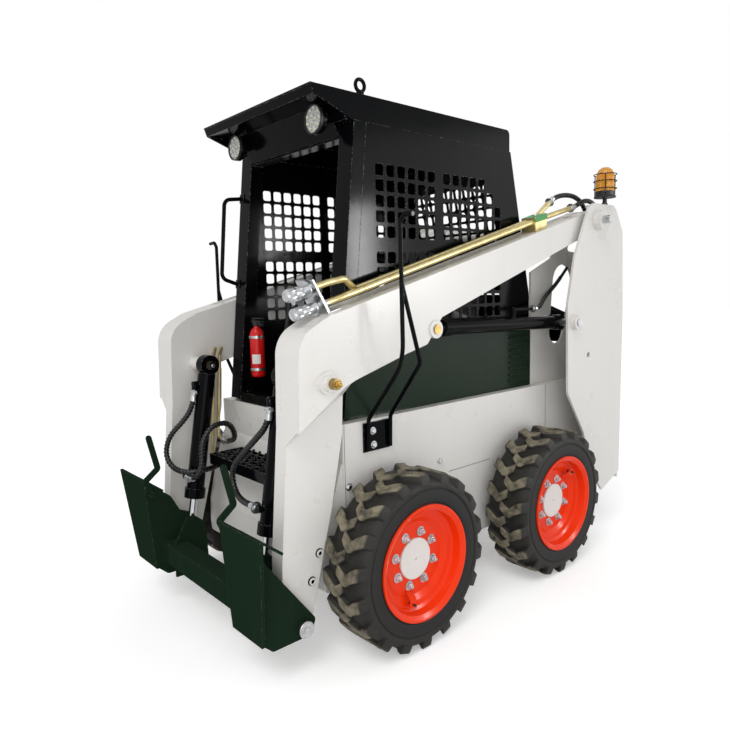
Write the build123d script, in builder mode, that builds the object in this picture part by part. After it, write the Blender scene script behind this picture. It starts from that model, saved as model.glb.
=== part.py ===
"""Skid steer loader: rigid frame, lift arms, quick-hitch carriage, open cab and four driven wheels.

Frame: millimetres, +X towards the hitch, +Y to the machine's left, +Z up, origin on the ground
under the middle of the machine's length and width. Tables give X as the distance ahead of the
front axle; ahead() turns that into the frame's X.
"""

import os
from math import hypot, radians, tan

from build123d import *

# Driving dimensions
hitch_top = (654, 582)  # ahead of the front axle, height
rear_reach = 1668  # tower plates' rear edge behind the front axle
front_axle_x = (rear_reach - hitch_top[0]) / 2
wheel_base = 941
body_half_width = 402  # cab sides
running_gap = 0.3
pin_gap = 0.05

# Wheels
tyre_radius = 343  # to the lugs' tips
lug_height = 21
lugs_per_side = 18
lug_width = 34
lug_sweep = 40  # from a lug's shoulder end forward to its elbow
tread_half = 96
section_half = 103
bead_radius = 204
rim_flange_radius = 222
rim_flange = 8
rim_half_width = 106
disc_offset = 38  # disc face outwards from the wheel's middle
disc_thickness = 10
hub_cap_radius = 80
axle_hub_radius = 62

# Widths, all worked outwards from the cab sides
chassis_half_width = body_half_width + 46
chassis_plate = 12
wheel_centre_y = chassis_half_width + 136
arm_inner_y = body_half_width + 15
arm_width = 137
arm_outer_y = arm_inner_y + arm_width
leg_width = 65
leg_outer_y = arm_inner_y + leg_width
tower_plate = 12
tower_inner_y = (body_half_width - 1 - tower_plate, body_half_width - 1)
tower_outer_y = (arm_outer_y + 21, arm_outer_y + 21 + tower_plate)
lift_cylinder_y = (arm_inner_y + arm_outer_y) / 2
tilt_cylinder_y = arm_inner_y - 115
wing_inner_y = tilt_cylinder_y + 23
wing_outer_low_y = leg_outer_y + 38
wing_outer_top_y = wing_outer_low_y + 73
cab_opening_half = body_half_width - 84
door_half = tower_inner_y[0] - 13  # tailgate and hood

# Heights
chassis_top_z = 865
chassis_floor_z = 235
floor_plate = 10
cab_floor_z = chassis_top_z + 6
roof_line_z = 1990
roof_top_z = 2090

# Pins, as (ahead of the front axle, height)
arm_pivot = (-1388, 1684)
lift_pin_arm = (-206, 1201)
lift_pin_tower = (-1178, 1179)
hitch_pivot = (447, 192)
tilt_pin_arm = (343, 1050)
tilt_pin_hitch = (460, 354)
pin_radius = 19
lift_barrel_radius = 31
lift_rod_radius = 17
tilt_barrel_radius = 38
tilt_rod_radius = 19
cab_wall = 6
hole_pitch = 59
hole_size = 46


def ahead(distance):
    """Frame X of a place given ahead of the front axle."""
    return front_axle_x + distance


def slab(table, y_low, y_high, mode=Mode.ADD):
    """Plate in the XZ plane between two Y places; rows are (ahead, height, corner radius)."""
    with BuildSketch(Plane.XZ.offset(-y_high)) as face:
        with BuildLine():
            Polyline(*[(ahead(row[0]), row[1]) for row in table], close=True)
        make_face()
        for distance, height, radius in table:
            if radius:
                corner = face.vertices().sort_by_distance((ahead(distance), height))[0]
                fillet(corner, radius)
    extrude(face.sketch, amount=y_high - y_low, mode=mode)


def strap(points, width, bend, y_low, y_high):
    """Flat bar bent in its own plane along (ahead, height) points, between two Y places."""
    with BuildSketch(Plane.XZ.offset(-y_high)) as face:
        with BuildLine():
            FilletPolyline(*[(ahead(x), z) for x, z in points], radius=bend)
            offset(amount=width / 2)
        make_face()
    extrude(face.sketch, amount=y_high - y_low)


def block(x_range, y_range, z_range, mode=Mode.ADD):
    """Axis-aligned block from its ranges; X is ahead of the front axle."""
    centre = [(low + high) / 2 for low, high in (x_range, y_range, z_range)]
    size = [abs(high - low) for low, high in (x_range, y_range, z_range)]
    with Locations((ahead(centre[0]), centre[1], centre[2])):
        Box(*size, mode=mode)


def pin(place, y_low, y_high, radius, mode=Mode.ADD):
    """Round bar along Y at a place given as (ahead, height)."""
    with Locations(Location((ahead(place[0]), y_low, place[1]), (-90, 0, 0))):
        Cylinder(radius, y_high - y_low, align=(Align.CENTER, Align.CENTER, Align.MIN), mode=mode)


def upright(place, z_low, z_high, radius, mode=Mode.ADD):
    """Round bar along Z at a place given as (ahead, y)."""
    with Locations((ahead(place[0]), place[1], z_low)):
        Cylinder(radius, z_high - z_low, align=(Align.CENTER, Align.CENTER, Align.MIN), mode=mode)


def rod_between(start, end, y, radius, mode=Mode.ADD):
    """Round bar in the plane at y from one (ahead, height) place to another."""
    run, rise = end[0] - start[0], end[1] - start[1]
    plane = Plane(origin=(ahead(start[0]), y, start[1]), z_dir=(run, 0, rise), x_dir=(0, 1, 0))
    with BuildSketch(plane) as circle:
        Circle(radius)
    extrude(circle.sketch, amount=hypot(run, rise), mode=mode)


def along(start, end, distance):
    """Place at a distance from start towards end, both (ahead, height)."""
    share = distance / hypot(end[0] - start[0], end[1] - start[1])
    return tuple(s + (e - s) * share for s, e in zip(start, end))


def tube(points, radius, bend):
    """Round tube along (ahead, y, height) points; bend is one radius or one for each corner."""
    route_points = [(ahead(x), y, z) for x, y, z in points]
    with BuildLine() as route:
        if len(points) > 2:
            FilletPolyline(*route_points, radius=bend)
        else:
            Line(*route_points)
    line = route.wires()[0]
    with BuildSketch(Plane(origin=line @ 0, z_dir=line % 0)) as circle:
        Circle(radius)
    sweep(circle.sketch, path=line)
    return line


def hose_bends(points):
    """Arc radius at each corner: 0.45 of the shorter run over the tangent of half the turn."""
    bends = []
    for before, corner, after in zip(points, points[1:], points[2:]):
        first = Vector(*corner) - Vector(*before)
        second = Vector(*after) - Vector(*corner)
        half_turn = radians(first.get_angle(second)) / 2
        bends.append(0.45 * min(first.length, second.length) / tan(half_turn))
    return bends


def hose(name, points, radius):
    """Flexible hose along its route, with its bends printed in hose diameters."""
    bends = hose_bends(points)
    line = tube(points, radius, bends)
    print(name, "length", round(line.length), "bends", [round(b / radius / 2, 1) for b in bends])


def cut_square(size, cut, mode=Mode.ADD):
    """Square whose corners are cut off straight."""
    half = size / 2
    inner = half - cut
    Polygon(
        (half, -inner),
        (half, inner),
        (inner, half),
        (-inner, half),
        (-half, inner),
        (-half, -inner),
        (-inner, -half),
        (inner, -half),
        mode=mode,
    )


def ring(profile):
    """Ring revolved on a wheel's axis; rows are (outwards from the wheel's middle, radius)."""
    with BuildSketch(Plane.YZ) as face:
        with BuildLine():
            Polyline(*profile, close=True)
        make_face()
    revolve(face.sketch, axis=Axis.Y)


def save(piece, label):
    """Label a finished piece and write its STEP file."""
    piece.part.label = label
    export_step(piece.part, f"parts/{label}.step")


os.makedirs("parts", exist_ok=True)

# Wheel forms about the origin, outer side towards +Y: one lug, the tyre, the rim and the hub cap
crown_radius = tyre_radius - lug_height
shoulder_radius = 298
lug_root = shoulder_radius - 14
lug_plan = [  # (round the tyre, outwards), for a lug at the tyre's top
    (-lug_width / 2, section_half + 7),
    (lug_sweep - lug_width / 2, 24),
    (lug_sweep - lug_width / 2 - 12, -22),
    (lug_sweep + lug_width / 2 - 12, -22),
    (lug_sweep + lug_width / 2, 24),
    (lug_width / 2, section_half + 7),
]
with BuildPart() as lug:
    with BuildSketch(Plane.XY.offset(lug_root)) as plan:
        with BuildLine():
            Polyline(*lug_plan, close=True)
        make_face()
    extrude(plan.sketch, amount=tyre_radius + 12 - lug_root)
    with BuildSketch(Plane.YZ) as tread_section:
        with BuildLine():
            Polyline(
                (-tread_half, 0),
                (-tread_half, tyre_radius),
                (tread_half - 12, tyre_radius),
                (tread_half, tyre_radius - 6),
                (section_half - 0.5, shoulder_radius - 2),
                (tread_half - 8, 0),
                close=True,
            )
        make_face()
    revolve(tread_section.sketch, axis=Axis.Y, mode=Mode.INTERSECT)

lug_step = 360 / lugs_per_side
outer_lugs = [lug.part.rotate(Axis.Y, lug_step * turn) for turn in range(lugs_per_side)]
inner_lug = lug.part.mirror(Plane.XZ).rotate(Axis.Y, lug_step / 2)
inner_lugs = [inner_lug.rotate(Axis.Y, lug_step * turn) for turn in range(lugs_per_side)]
bead_y = rim_half_width - rim_flange - running_gap
half_carcass = [
    (bead_y, bead_radius + running_gap),
    (bead_y, rim_flange_radius + 6),
    (section_half, 252),
    (section_half, shoulder_radius),
    (tread_half - 8, crown_radius - 6),
    (tread_half - 40, crown_radius),
]
with BuildPart() as tyre_form:
    ring(half_carcass + [(-y, radius) for y, radius in reversed(half_carcass)])
    add(outer_lugs + inner_lugs)

with BuildPart() as rim_form:
    ring(
        [
            (-rim_half_width, rim_flange_radius),
            (rim_flange - rim_half_width, rim_flange_radius),
            (rim_flange - rim_half_width, bead_radius),
            (rim_half_width - rim_flange, bead_radius),
            (rim_half_width - rim_flange, rim_flange_radius),
            (rim_half_width, rim_flange_radius),
            (rim_half_width, rim_flange_radius - 8),
            (rim_half_width - 10, bead_radius - 6),
            (disc_offset + 26, bead_radius - 10),
            (disc_offset + 18, bead_radius - 22),
            (disc_offset + 14, bead_radius - 42),
            (disc_offset, bead_radius - 62),
            (disc_offset, 0),
            (disc_offset - disc_thickness, 0),
            (disc_offset - disc_thickness, bead_radius - 68),
            (disc_offset + 4, bead_radius - 46),
            (disc_offset + 8, bead_radius - 20),
            (disc_offset - 10, bead_radius - 12),
            (-rim_half_width, bead_radius - 12),
        ]
    )

with BuildPart() as hub_cap_form:
    ring(
        [
            (disc_offset, 0),
            (disc_offset, hub_cap_radius),
            (disc_offset + 6, hub_cap_radius),
            (disc_offset + 8, hub_cap_radius - 2),
            (disc_offset + 8, 5),
            (disc_offset + 5, 5),
            (disc_offset + 5, 0),
        ]
    )

# Each wheel's three pieces at its corner
wheel_places = {  # ahead of the front axle, side
    "front_left": (0, 1),
    "front_right": (0, -1),
    "rear_left": (-wheel_base, 1),
    "rear_right": (-wheel_base, -1),
}
wheel_forms = {"tyre": tyre_form.part, "rim": rim_form.part, "hub_cap": hub_cap_form.part}
for wheel, (distance, side) in wheel_places.items():
    for kind, form in wheel_forms.items():
        facing = form if side > 0 else form.mirror(Plane.XZ)
        with BuildPart() as wheel_piece:
            with Locations((ahead(distance), side * wheel_centre_y, tyre_radius)):
                add(facing)
        save(wheel_piece, f"{kind}_{wheel}")

# Axle hubs from the chassis sides to the wheel discs
hub_root = chassis_half_width - wheel_centre_y
with BuildPart() as hub_form:
    ring(
        [
            (hub_root, 0),
            (hub_root, 95),
            (hub_root + 14, 95),
            (hub_root + 20, axle_hub_radius),
            (disc_offset - disc_thickness - running_gap, axle_hub_radius),
            (disc_offset - disc_thickness - running_gap, 0),
        ]
    )
with BuildPart() as axle_hubs:
    for distance, side in wheel_places.values():
        facing = hub_form.part if side > 0 else hub_form.part.mirror(Plane.XZ)
        with Locations((ahead(distance), side * wheel_centre_y, tyre_radius)):
            add(facing)
save(axle_hubs, "axle_hubs")

# Chassis tub: two side plates, floor, bulkhead, front plate and top flanges
front_body_x = 196
rear_body_x = -1600
nose_x = 60  # where the belly turns up to the front plate
tub_half = chassis_half_width - chassis_plate
side_outline = [
    (front_body_x, chassis_top_z, 0),
    (rear_body_x, chassis_top_z, 0),
    (rear_body_x, 330, 30),
    (rear_body_x + 110, chassis_floor_z, 30),
    (nose_x, chassis_floor_z, 30),
    (front_body_x, 420, 30),
]
front_plate_outline = [
    (front_body_x, chassis_top_z, 0),
    (front_body_x, 420, 0),
    (nose_x, chassis_floor_z, 0),
    (nose_x - 12, chassis_floor_z + 8, 0),
    (front_body_x - chassis_plate, 424, 0),
    (front_body_x - chassis_plate, chassis_top_z, 0),
]
with BuildPart() as chassis:
    slab(side_outline, tub_half, chassis_half_width)
    block((rear_body_x, front_body_x), (body_half_width - 30, chassis_half_width), (chassis_top_z - 8, chassis_top_z))
    mirror(about=Plane.XZ)
    floor_top = chassis_floor_z + floor_plate
    block((rear_body_x + 110, nose_x), (-tub_half, tub_half), (chassis_floor_z, floor_top))
    block((-960, -948), (-tub_half, tub_half), (chassis_floor_z, 700))
    slab(front_plate_outline, -tub_half, tub_half)
save(chassis, "chassis")

# Towers: outer and inner plate each side, rear wall, cap, bosses and tailgate hinge leaves
tower_outline = [
    (-1300, 1742, 20),
    (-1345, 1766, 20),
    (-1560, 1768, 60),
    (-1646, 1640, 80),
    (-rear_reach, 1200, 0),
    (-rear_reach + 4, 330, 0),
    (-1480, 262, 0),
    (-1330, 430, 40),
    (-1290, 600, 60),
    (-1130, 830, 60),
    (-1118, 1267, 80),
    (-1176, 1500, 60),
]
tower_inner_outline = [
    (-1082, chassis_top_z, 0),
    (-1082, 1430, 0),
    (-1266, 1504, 30),
    (-1350, 1700, 40),
    (-1400, 1730, 40),
    (-1560, 1740, 60),
    (-1640, 1620, 60),
    (-1650, 1200, 0),
    (-1650, chassis_top_z, 0),
]
rear_wall_outline = [(-1650, 1560, 0), (-1638, 1560, 0), (-1638, 300, 0), (-1650, 300, 0)]
cap_outline = [(-1410, 1768, 0), (-1560, 1768, 0), (-1560, 1758, 0), (-1410, 1758, 0)]
window_outline = [(-1408, 1544, 14), (-1440, 1600, 20), (-1540, 1602, 24), (-1560, 1530, 30)]
slot_top = (-1372, 1378, 94)  # ahead, height, radius
slot_bottom = (-1315, 1124, 66)
boss_radius = 48
lift_boss_radius = 36
tie_down = (-1319, 1008)
tie_down_radius = 14
hinge_x = -rear_reach + 12
hinge_y = door_half + 8
hinge_radius = 7
hinge_heights = (520, 1020)
with BuildPart() as towers:
    slab(tower_outline, *tower_outer_y)
    slab(tower_inner_outline, *tower_inner_y)
    slab(rear_wall_outline, tower_inner_y[0], tower_outer_y[1])
    slab(cap_outline, arm_outer_y - 50, tower_outer_y[0])
    block((-1638, -1500), (chassis_half_width, tower_outer_y[0]), (420, 432))
    pin(arm_pivot, tower_outer_y[1], tower_outer_y[1] + 34, boss_radius)
    pin(lift_pin_tower, tower_outer_y[1], tower_outer_y[1] + 26, lift_boss_radius)
    pin(lift_pin_tower, tower_inner_y[1], tower_inner_y[1] + 40, lift_boss_radius)
    pin(arm_pivot, tower_inner_y[0], tower_outer_y[1] + 34, pin_radius + pin_gap, Mode.SUBTRACT)
    pin(lift_pin_tower, tower_inner_y[0], tower_outer_y[1] + 26, pin_radius + pin_gap, Mode.SUBTRACT)
    pin(tie_down, *tower_outer_y, tie_down_radius, Mode.SUBTRACT)
    with BuildSketch(Plane.XZ.offset(-tower_inner_y[1])) as slot:
        for distance, height, radius in (slot_top, slot_bottom):
            with Locations((ahead(distance), height)):
                Circle(radius)
        make_hull()
    extrude(slot.sketch, amount=tower_plate, mode=Mode.SUBTRACT)
    slab(window_outline, *tower_inner_y, Mode.SUBTRACT)
    mirror(about=Plane.XZ)
    for height in hinge_heights:
        upright((hinge_x, -hinge_y), height + 40 + running_gap, height + 80, hinge_radius)
        block(
            (hinge_x, -1650),
            (-hinge_y - 44, -hinge_y),
            (height + 40 + running_gap, height + 80),
        )
save(towers, "towers")

# Pins that hold arms and lift cylinders in the towers
with BuildPart() as tower_pins:
    pin(arm_pivot, tower_inner_y[0] - 6, tower_outer_y[1] + 70, pin_radius)
    pin(lift_pin_tower, tower_inner_y[0] - 6, tower_outer_y[1] + 32, pin_radius)
    mirror(about=Plane.XZ)
save(tower_pins, "tower_pins")

# Knuckle: the beam's outer face slopes in to the narrower leg below a diagonal line
knuckle_rear = (258, 1026)
knuckle_front = (464, 907)
knuckle_drop = 64  # height over which the face slopes in
leg_outline = [
    (250, 1200, 0),
    (456, 1000, 0),
    (464, 890, 0),
    (503, 430, 0),
    (512, 250, 0),
    (505, 160, 40),
    (420, 132, 50),
    (380, 210, 30),
    (279, 583, 0),
    (224, 837, 60),
    (214, 1010, 0),
]
slope_plane = Plane(
    origin=(ahead(knuckle_rear[0]), arm_outer_y, knuckle_rear[1]),
    x_dir=(knuckle_front[0] - knuckle_rear[0], 0, knuckle_front[1] - knuckle_rear[1]),
    z_dir=Vector(knuckle_front[0] - knuckle_rear[0], 0, knuckle_front[1] - knuckle_rear[1]).cross(
        Vector(0, leg_outer_y - arm_outer_y, -knuckle_drop)
    ),
)
with BuildPart() as knuckle:
    slab(leg_outline, leg_outer_y, arm_outer_y)
    split(bisect_by=slope_plane, keep=Keep.BOTTOM)

# Lift arms: box beam, knuckle, leg, bosses and the rear torque tube
cheek = 14  # side plates of the beam where the rod's eye enters
top_groove = 6  # top plate set in between the beam's side plates
arm_outline = [
    (-1377, 1732, 0),
    (330, 1274, 150),
    (454, 1210, 110),
    (464, 890, 0),
    (258, 1026, 24),
    (210, 1045, 60),
    (-48, 1118, 0),
    (-160, 1145, 24),
    (-246, 1247, 0),
    (-1265, 1586, 0),
    (-1400, 1633, 0),
]


def beam_top(distance):
    """Height of the beam's top edge at a distance ahead of the front axle."""
    rear, front = arm_outline[0], arm_outline[1]
    return front[1] + (front[0] - distance) * (rear[1] - front[1]) / (front[0] - rear[0])


groove_outline = [
    (-1290, beam_top(-1290) - top_groove, 0),
    (190, beam_top(190) - top_groove, 0),
    (190, beam_top(190) + 40, 0),
    (-1290, beam_top(-1290) + 40, 0),
]
eye_pocket = [(-460, 1110, 0), (-105, 1110, 0), (-105, 1310, 0), (-460, 1310, 0)]
torque_tube = (-1140, 1606)
leg_eyes = [(345, 425), (382, 330)]
with BuildPart() as lift_arms:
    slab(arm_outline, arm_inner_y, arm_outer_y)
    slab(leg_outline, arm_inner_y, leg_outer_y)
    add(knuckle.part)
    pin(arm_pivot, arm_inner_y, arm_outer_y, 52)
    pin(lift_pin_arm, arm_inner_y, arm_outer_y + 8, lift_boss_radius)
    pin(tilt_pin_arm, arm_outer_y, arm_outer_y + 14, 39)
    pin(tilt_pin_arm, arm_outer_y + 14, arm_outer_y + 35, 29)
    pin(tilt_pin_arm, tilt_cylinder_y + 26, arm_inner_y, 30)
    for place in leg_eyes:
        pin(place, leg_outer_y, leg_outer_y + 8, 14)
        pin(place, leg_outer_y, leg_outer_y + 8, 8, Mode.SUBTRACT)
    slab(groove_outline, arm_inner_y + cheek, arm_outer_y - cheek, Mode.SUBTRACT)
    slab(eye_pocket, arm_inner_y + cheek, arm_outer_y - cheek, Mode.SUBTRACT)
    pin(arm_pivot, arm_inner_y, arm_outer_y, pin_radius + pin_gap, Mode.SUBTRACT)
    pin(lift_pin_arm, arm_inner_y, arm_outer_y + 8, pin_radius + pin_gap, Mode.SUBTRACT)
    pin(hitch_pivot, arm_inner_y, leg_outer_y, pin_radius + pin_gap, Mode.SUBTRACT)
    pin(tilt_pin_arm, tilt_cylinder_y, arm_outer_y + 35, pin_radius + pin_gap, Mode.SUBTRACT)
    mirror(about=Plane.XZ)
    pin(torque_tube, -arm_inner_y, arm_inner_y, 45)
save(lift_arms, "lift_arms")

# Pins carried by the arms: through the tilt cylinders' eyes, and stubs beside the lift rods' eyes
with BuildPart() as arm_pins:
    pin(tilt_pin_arm, tilt_cylinder_y - 30, arm_outer_y + 60, pin_radius)
    pin(lift_pin_arm, arm_outer_y - cheek, arm_outer_y + 14, pin_radius)
    pin(lift_pin_arm, arm_inner_y, arm_inner_y + cheek, pin_radius)
    mirror(about=Plane.XZ)
save(arm_pins, "arm_pins")

# Lift cylinders: barrel on the tower pin with its oil pipe, rod eye between the arm's cheeks
lift_eye_radius = 30
lift_gland = 110  # from the rod's eye back to the barrel's front end
lift_base = 34  # from the tower pin to the barrel's rear end
lift_port = 360  # from the tower pin along the barrel
lift_pipe_z = 1254
lift_pipe_rear = -964
with BuildPart() as lift_barrels:
    gland = along(lift_pin_arm, lift_pin_tower, lift_gland)
    collar = along(lift_pin_arm, lift_pin_tower, lift_gland + 46)
    rod_between(along(lift_pin_tower, lift_pin_arm, lift_base), gland, lift_cylinder_y, lift_barrel_radius)
    rod_between(collar, gland, lift_cylinder_y, lift_barrel_radius + 5)
    pin(lift_pin_tower, lift_cylinder_y - 30, lift_cylinder_y + 30, 38)
    port = along(lift_pin_tower, lift_pin_arm, lift_port)
    rod_between(port, (port[0], lift_pipe_z + 10), lift_cylinder_y, 11)
    tube([(port[0], lift_cylinder_y, lift_pipe_z), (lift_pipe_rear, lift_cylinder_y, lift_pipe_z)], 7, 0)
    pin(lift_pin_tower, lift_cylinder_y - 30, lift_cylinder_y + 30, pin_radius + pin_gap, Mode.SUBTRACT)
    start = along(lift_pin_tower, lift_pin_arm, 90)
    rod_between(start, lift_pin_arm, lift_cylinder_y, lift_rod_radius + 1, Mode.SUBTRACT)
    mirror(about=Plane.XZ)
save(lift_barrels, "lift_barrels")

with BuildPart() as lift_rods:
    rod_between(along(lift_pin_tower, lift_pin_arm, 130), lift_pin_arm, lift_cylinder_y, lift_rod_radius)
    pin(lift_pin_arm, lift_cylinder_y - 22, lift_cylinder_y + 22, lift_eye_radius)
    mirror(about=Plane.XZ)
save(lift_rods, "lift_rods")

# Tilt cylinders inside the arms, each with a port block near either end
tilt_gland = 118  # from the rod's eye back to the barrel's lower end
tilt_ports = [(79, 64), (483, 62)]  # distance from the arm pin, reach ahead of the cylinder's axis
port_radius = 12
stub_radius = 13  # stubs that take the hoses
stub_back = 12  # stub's axis behind the port's front end
stub_length = 26
top_port, low_port = [along(tilt_pin_arm, tilt_pin_hitch, distance) for distance, reach in tilt_ports]
top_stub = (top_port[0] + tilt_ports[0][1] - stub_back, top_port[1])
low_stub = (low_port[0] + tilt_ports[1][1] - stub_back, low_port[1])
low_stub_y = tilt_cylinder_y - 15


def beside_barrel(distance):
    """Place on the line through the top stub that runs beside the tilt barrel."""
    run, rise = tilt_pin_hitch[0] - tilt_pin_arm[0], tilt_pin_hitch[1] - tilt_pin_arm[1]
    return along(top_stub, (top_stub[0] + run, top_stub[1] + rise), distance)


with BuildPart() as tilt_barrels:
    gland = along(tilt_pin_hitch, tilt_pin_arm, tilt_gland)
    base = along(tilt_pin_arm, tilt_pin_hitch, 38)
    rod_between(base, gland, tilt_cylinder_y, tilt_barrel_radius)
    collar = along(tilt_pin_hitch, tilt_pin_arm, tilt_gland + 42)
    rod_between(collar, gland, tilt_cylinder_y, tilt_barrel_radius + 7)
    pin(tilt_pin_arm, tilt_cylinder_y - 25, tilt_cylinder_y + 25, 44)
    for distance, reach in tilt_ports:
        port = along(tilt_pin_arm, tilt_pin_hitch, distance)
        rod_between(port, (port[0] + reach, port[1]), tilt_cylinder_y, port_radius)
    rod_between(beside_barrel(-4), beside_barrel(stub_length), tilt_cylinder_y, stub_radius)
    pin(low_stub, low_stub_y, tilt_cylinder_y + 4, stub_radius)
    pin(tilt_pin_arm, tilt_cylinder_y - 25, tilt_cylinder_y + 25, pin_radius + pin_gap, Mode.SUBTRACT)
    start = along(tilt_pin_arm, tilt_pin_hitch, 90)
    rod_between(start, tilt_pin_hitch, tilt_cylinder_y, tilt_rod_radius + 1, Mode.SUBTRACT)
    mirror(about=Plane.XZ)
save(tilt_barrels, "tilt_barrels")

with BuildPart() as tilt_rods:
    rod_between(along(tilt_pin_arm, tilt_pin_hitch, 120), tilt_pin_hitch, tilt_cylinder_y, tilt_rod_radius)
    pin(tilt_pin_hitch, tilt_cylinder_y - 20, tilt_cylinder_y + 20, 32)
    mirror(about=Plane.XZ)
save(tilt_rods, "tilt_rods")

# Quick-hitch carriage: two wings, side plates, top lips, cross tube and lock levers
wing_plate = 12
hitch_low = (hitch_top[0] - 34, 185)
side_plate_y = (leg_outer_y + 15, leg_outer_y + 27)
inner_plate_y = (wing_inner_y, wing_inner_y + 12)
lug_plate_y = (tilt_cylinder_y - 40, tilt_cylinder_y - 28)
side_plate_outline = [
    (hitch_top[0] - 10, hitch_top[1] - 70, 0),
    (612, 498, 0),
    (389, 205, 20),
    (410, 150, 20),
    (571, 150, 20),
    (hitch_low[0] - 4, hitch_low[1] + 6, 0),
]
inner_plate_outline = [
    (hitch_top[0] - 6, hitch_top[1] - 4, 0),
    (540, 494, 30),
    (500, 420, 0),
    (430, 390, 40),
    (389, 205, 30),
    (410, 150, 30),
    (571, 150, 20),
    (hitch_low[0] - 4, hitch_low[1] + 6, 0),
]
lug_plate_outline = [
    (500, 400, 0),
    (462, 402, 40),
    (414, 360, 30),
    (405, 150, 30),
    (560, 150, 0),
    (556, 300, 0),
]
lip_outline = [
    (hitch_top[0] - 12, hitch_top[1] - 2, 0),
    (hitch_top[0] - 16, hitch_top[1] - 12, 0),
    (574, 518, 0),
    (568, 526, 0),
]
lever_points = [(622, 520), (648, 582), (591, 627), (622, 764)]
wing_height = hypot(hitch_top[0] - hitch_low[0], hitch_top[1] - hitch_low[1])
wing_face = Plane(
    origin=(ahead(hitch_low[0]), 0, hitch_low[1]),
    x_dir=(0, 1, 0),
    z_dir=(hitch_top[1] - hitch_low[1], 0, -(hitch_top[0] - hitch_low[0])),
)
with BuildPart() as carriage:
    with BuildSketch(wing_face) as wing:
        with BuildLine():
            Polyline(
                (wing_inner_y, 0),
                (wing_outer_low_y, 0),
                (wing_outer_top_y, wing_height),
                (wing_inner_y, wing_height),
                close=True,
            )
        make_face()
    extrude(wing.sketch, amount=-wing_plate)
    slab(side_plate_outline, *side_plate_y)
    slab(inner_plate_outline, *inner_plate_y)
    slab(lug_plate_outline, *lug_plate_y)
    slab(lip_outline, wing_inner_y, wing_outer_top_y)
    strap(lever_points, 24, 10, wing_inner_y - 8, wing_inner_y)
    pin(lever_points[0], wing_inner_y - 14, wing_inner_y, 12)
    mirror(about=Plane.XZ)
    block((500, 580), (-inner_plate_y[1], inner_plate_y[1]), (205, 295))
    for side in (1, -1):
        y_low, y_high = sorted((side * (lug_plate_y[0] - 12), side * side_plate_y[1]))
        pin(hitch_pivot, y_low, y_high, pin_radius + pin_gap, Mode.SUBTRACT)
save(carriage, "carriage")

with BuildPart() as hitch_pins:
    pin(hitch_pivot, lug_plate_y[0], side_plate_y[1] + 22, pin_radius)
    mirror(about=Plane.XZ)
save(hitch_pins, "hitch_pins")

# Cab frame: slanted front posts, head and sill bars, floor
cab_front_top = (59, roof_line_z)
cab_front_low = (178, cab_floor_z + 4)
cab_rear_top = (-907, roof_line_z)
cab_rear_low = (-1062, 1330)
post = 60
head_bar_low_z = 1938


def post_front(height):
    """Place ahead of the front axle where the slanted posts' front face is at a height."""
    share = (cab_front_top[1] - height) / (cab_front_top[1] - cab_front_low[1])
    return cab_front_top[0] + (cab_front_low[0] - cab_front_top[0]) * share


with BuildPart() as cab_frame:
    slab(
        [
            (cab_front_top[0], cab_front_top[1], 0),
            (cab_front_low[0], cab_front_low[1], 0),
            (cab_front_low[0] - post, cab_front_low[1], 0),
            (cab_front_top[0] - post, cab_front_top[1], 0),
        ],
        cab_opening_half,
        body_half_width,
    )
    mirror(about=Plane.XZ)
    block(
        (cab_front_top[0] - post, cab_front_top[0] - 2),
        (-cab_opening_half, cab_opening_half),
        (head_bar_low_z, roof_line_z),
    )
    block(
        (cab_front_low[0] - post, cab_front_low[0] - 4),
        (-cab_opening_half, cab_opening_half),
        (chassis_top_z, cab_floor_z + 34),
    )
    block(
        (-1000, cab_front_low[0] - post),
        (-body_half_width + cab_wall, body_half_width - cab_wall),
        (chassis_top_z, cab_floor_z),
    )
save(cab_frame, "cab_frame")

# Cab sides: plates with two groups of holes, the rear group stepped at its top corner
side_groups = [  # first column's front edge, columns, top row's middle, rows
    (-41, 6, 1823, 5),
    (-41, 6, 1487, 5),
    (-431, 7, 1823, 5),
    (-431, 7, 1487, 5),
]
closed_corner = [(6, 0), (5, 0), (6, 1)]  # column and row left closed in the rear group's top
hole_cut = 7  # off each corner of a hole
with BuildPart() as cab_sides:
    slab(
        [
            (cab_front_top[0] - post, cab_front_top[1], 0),
            (cab_front_low[0] - post, cab_front_low[1], 0),
            (cab_rear_low[0], cab_front_low[1], 0),
            (cab_rear_low[0], cab_rear_low[1], 0),
            (cab_rear_top[0], cab_rear_top[1], 0),
        ],
        body_half_width - cab_wall,
        body_half_width,
    )
    with BuildSketch(Plane.XZ.offset(-body_half_width)) as holes:
        for group, (first, columns, top, rows) in enumerate(side_groups):
            places = [
                (ahead(first - hole_size / 2 - hole_pitch * column), top - hole_pitch * row)
                for column in range(columns)
                for row in range(rows)
                if group != 2 or (column, row) not in closed_corner
            ]
            with Locations(*places):
                cut_square(hole_size, hole_cut)
    extrude(holes.sketch, amount=cab_wall, mode=Mode.SUBTRACT)
    mirror(about=Plane.XZ)
save(cab_sides, "cab_sides")

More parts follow.
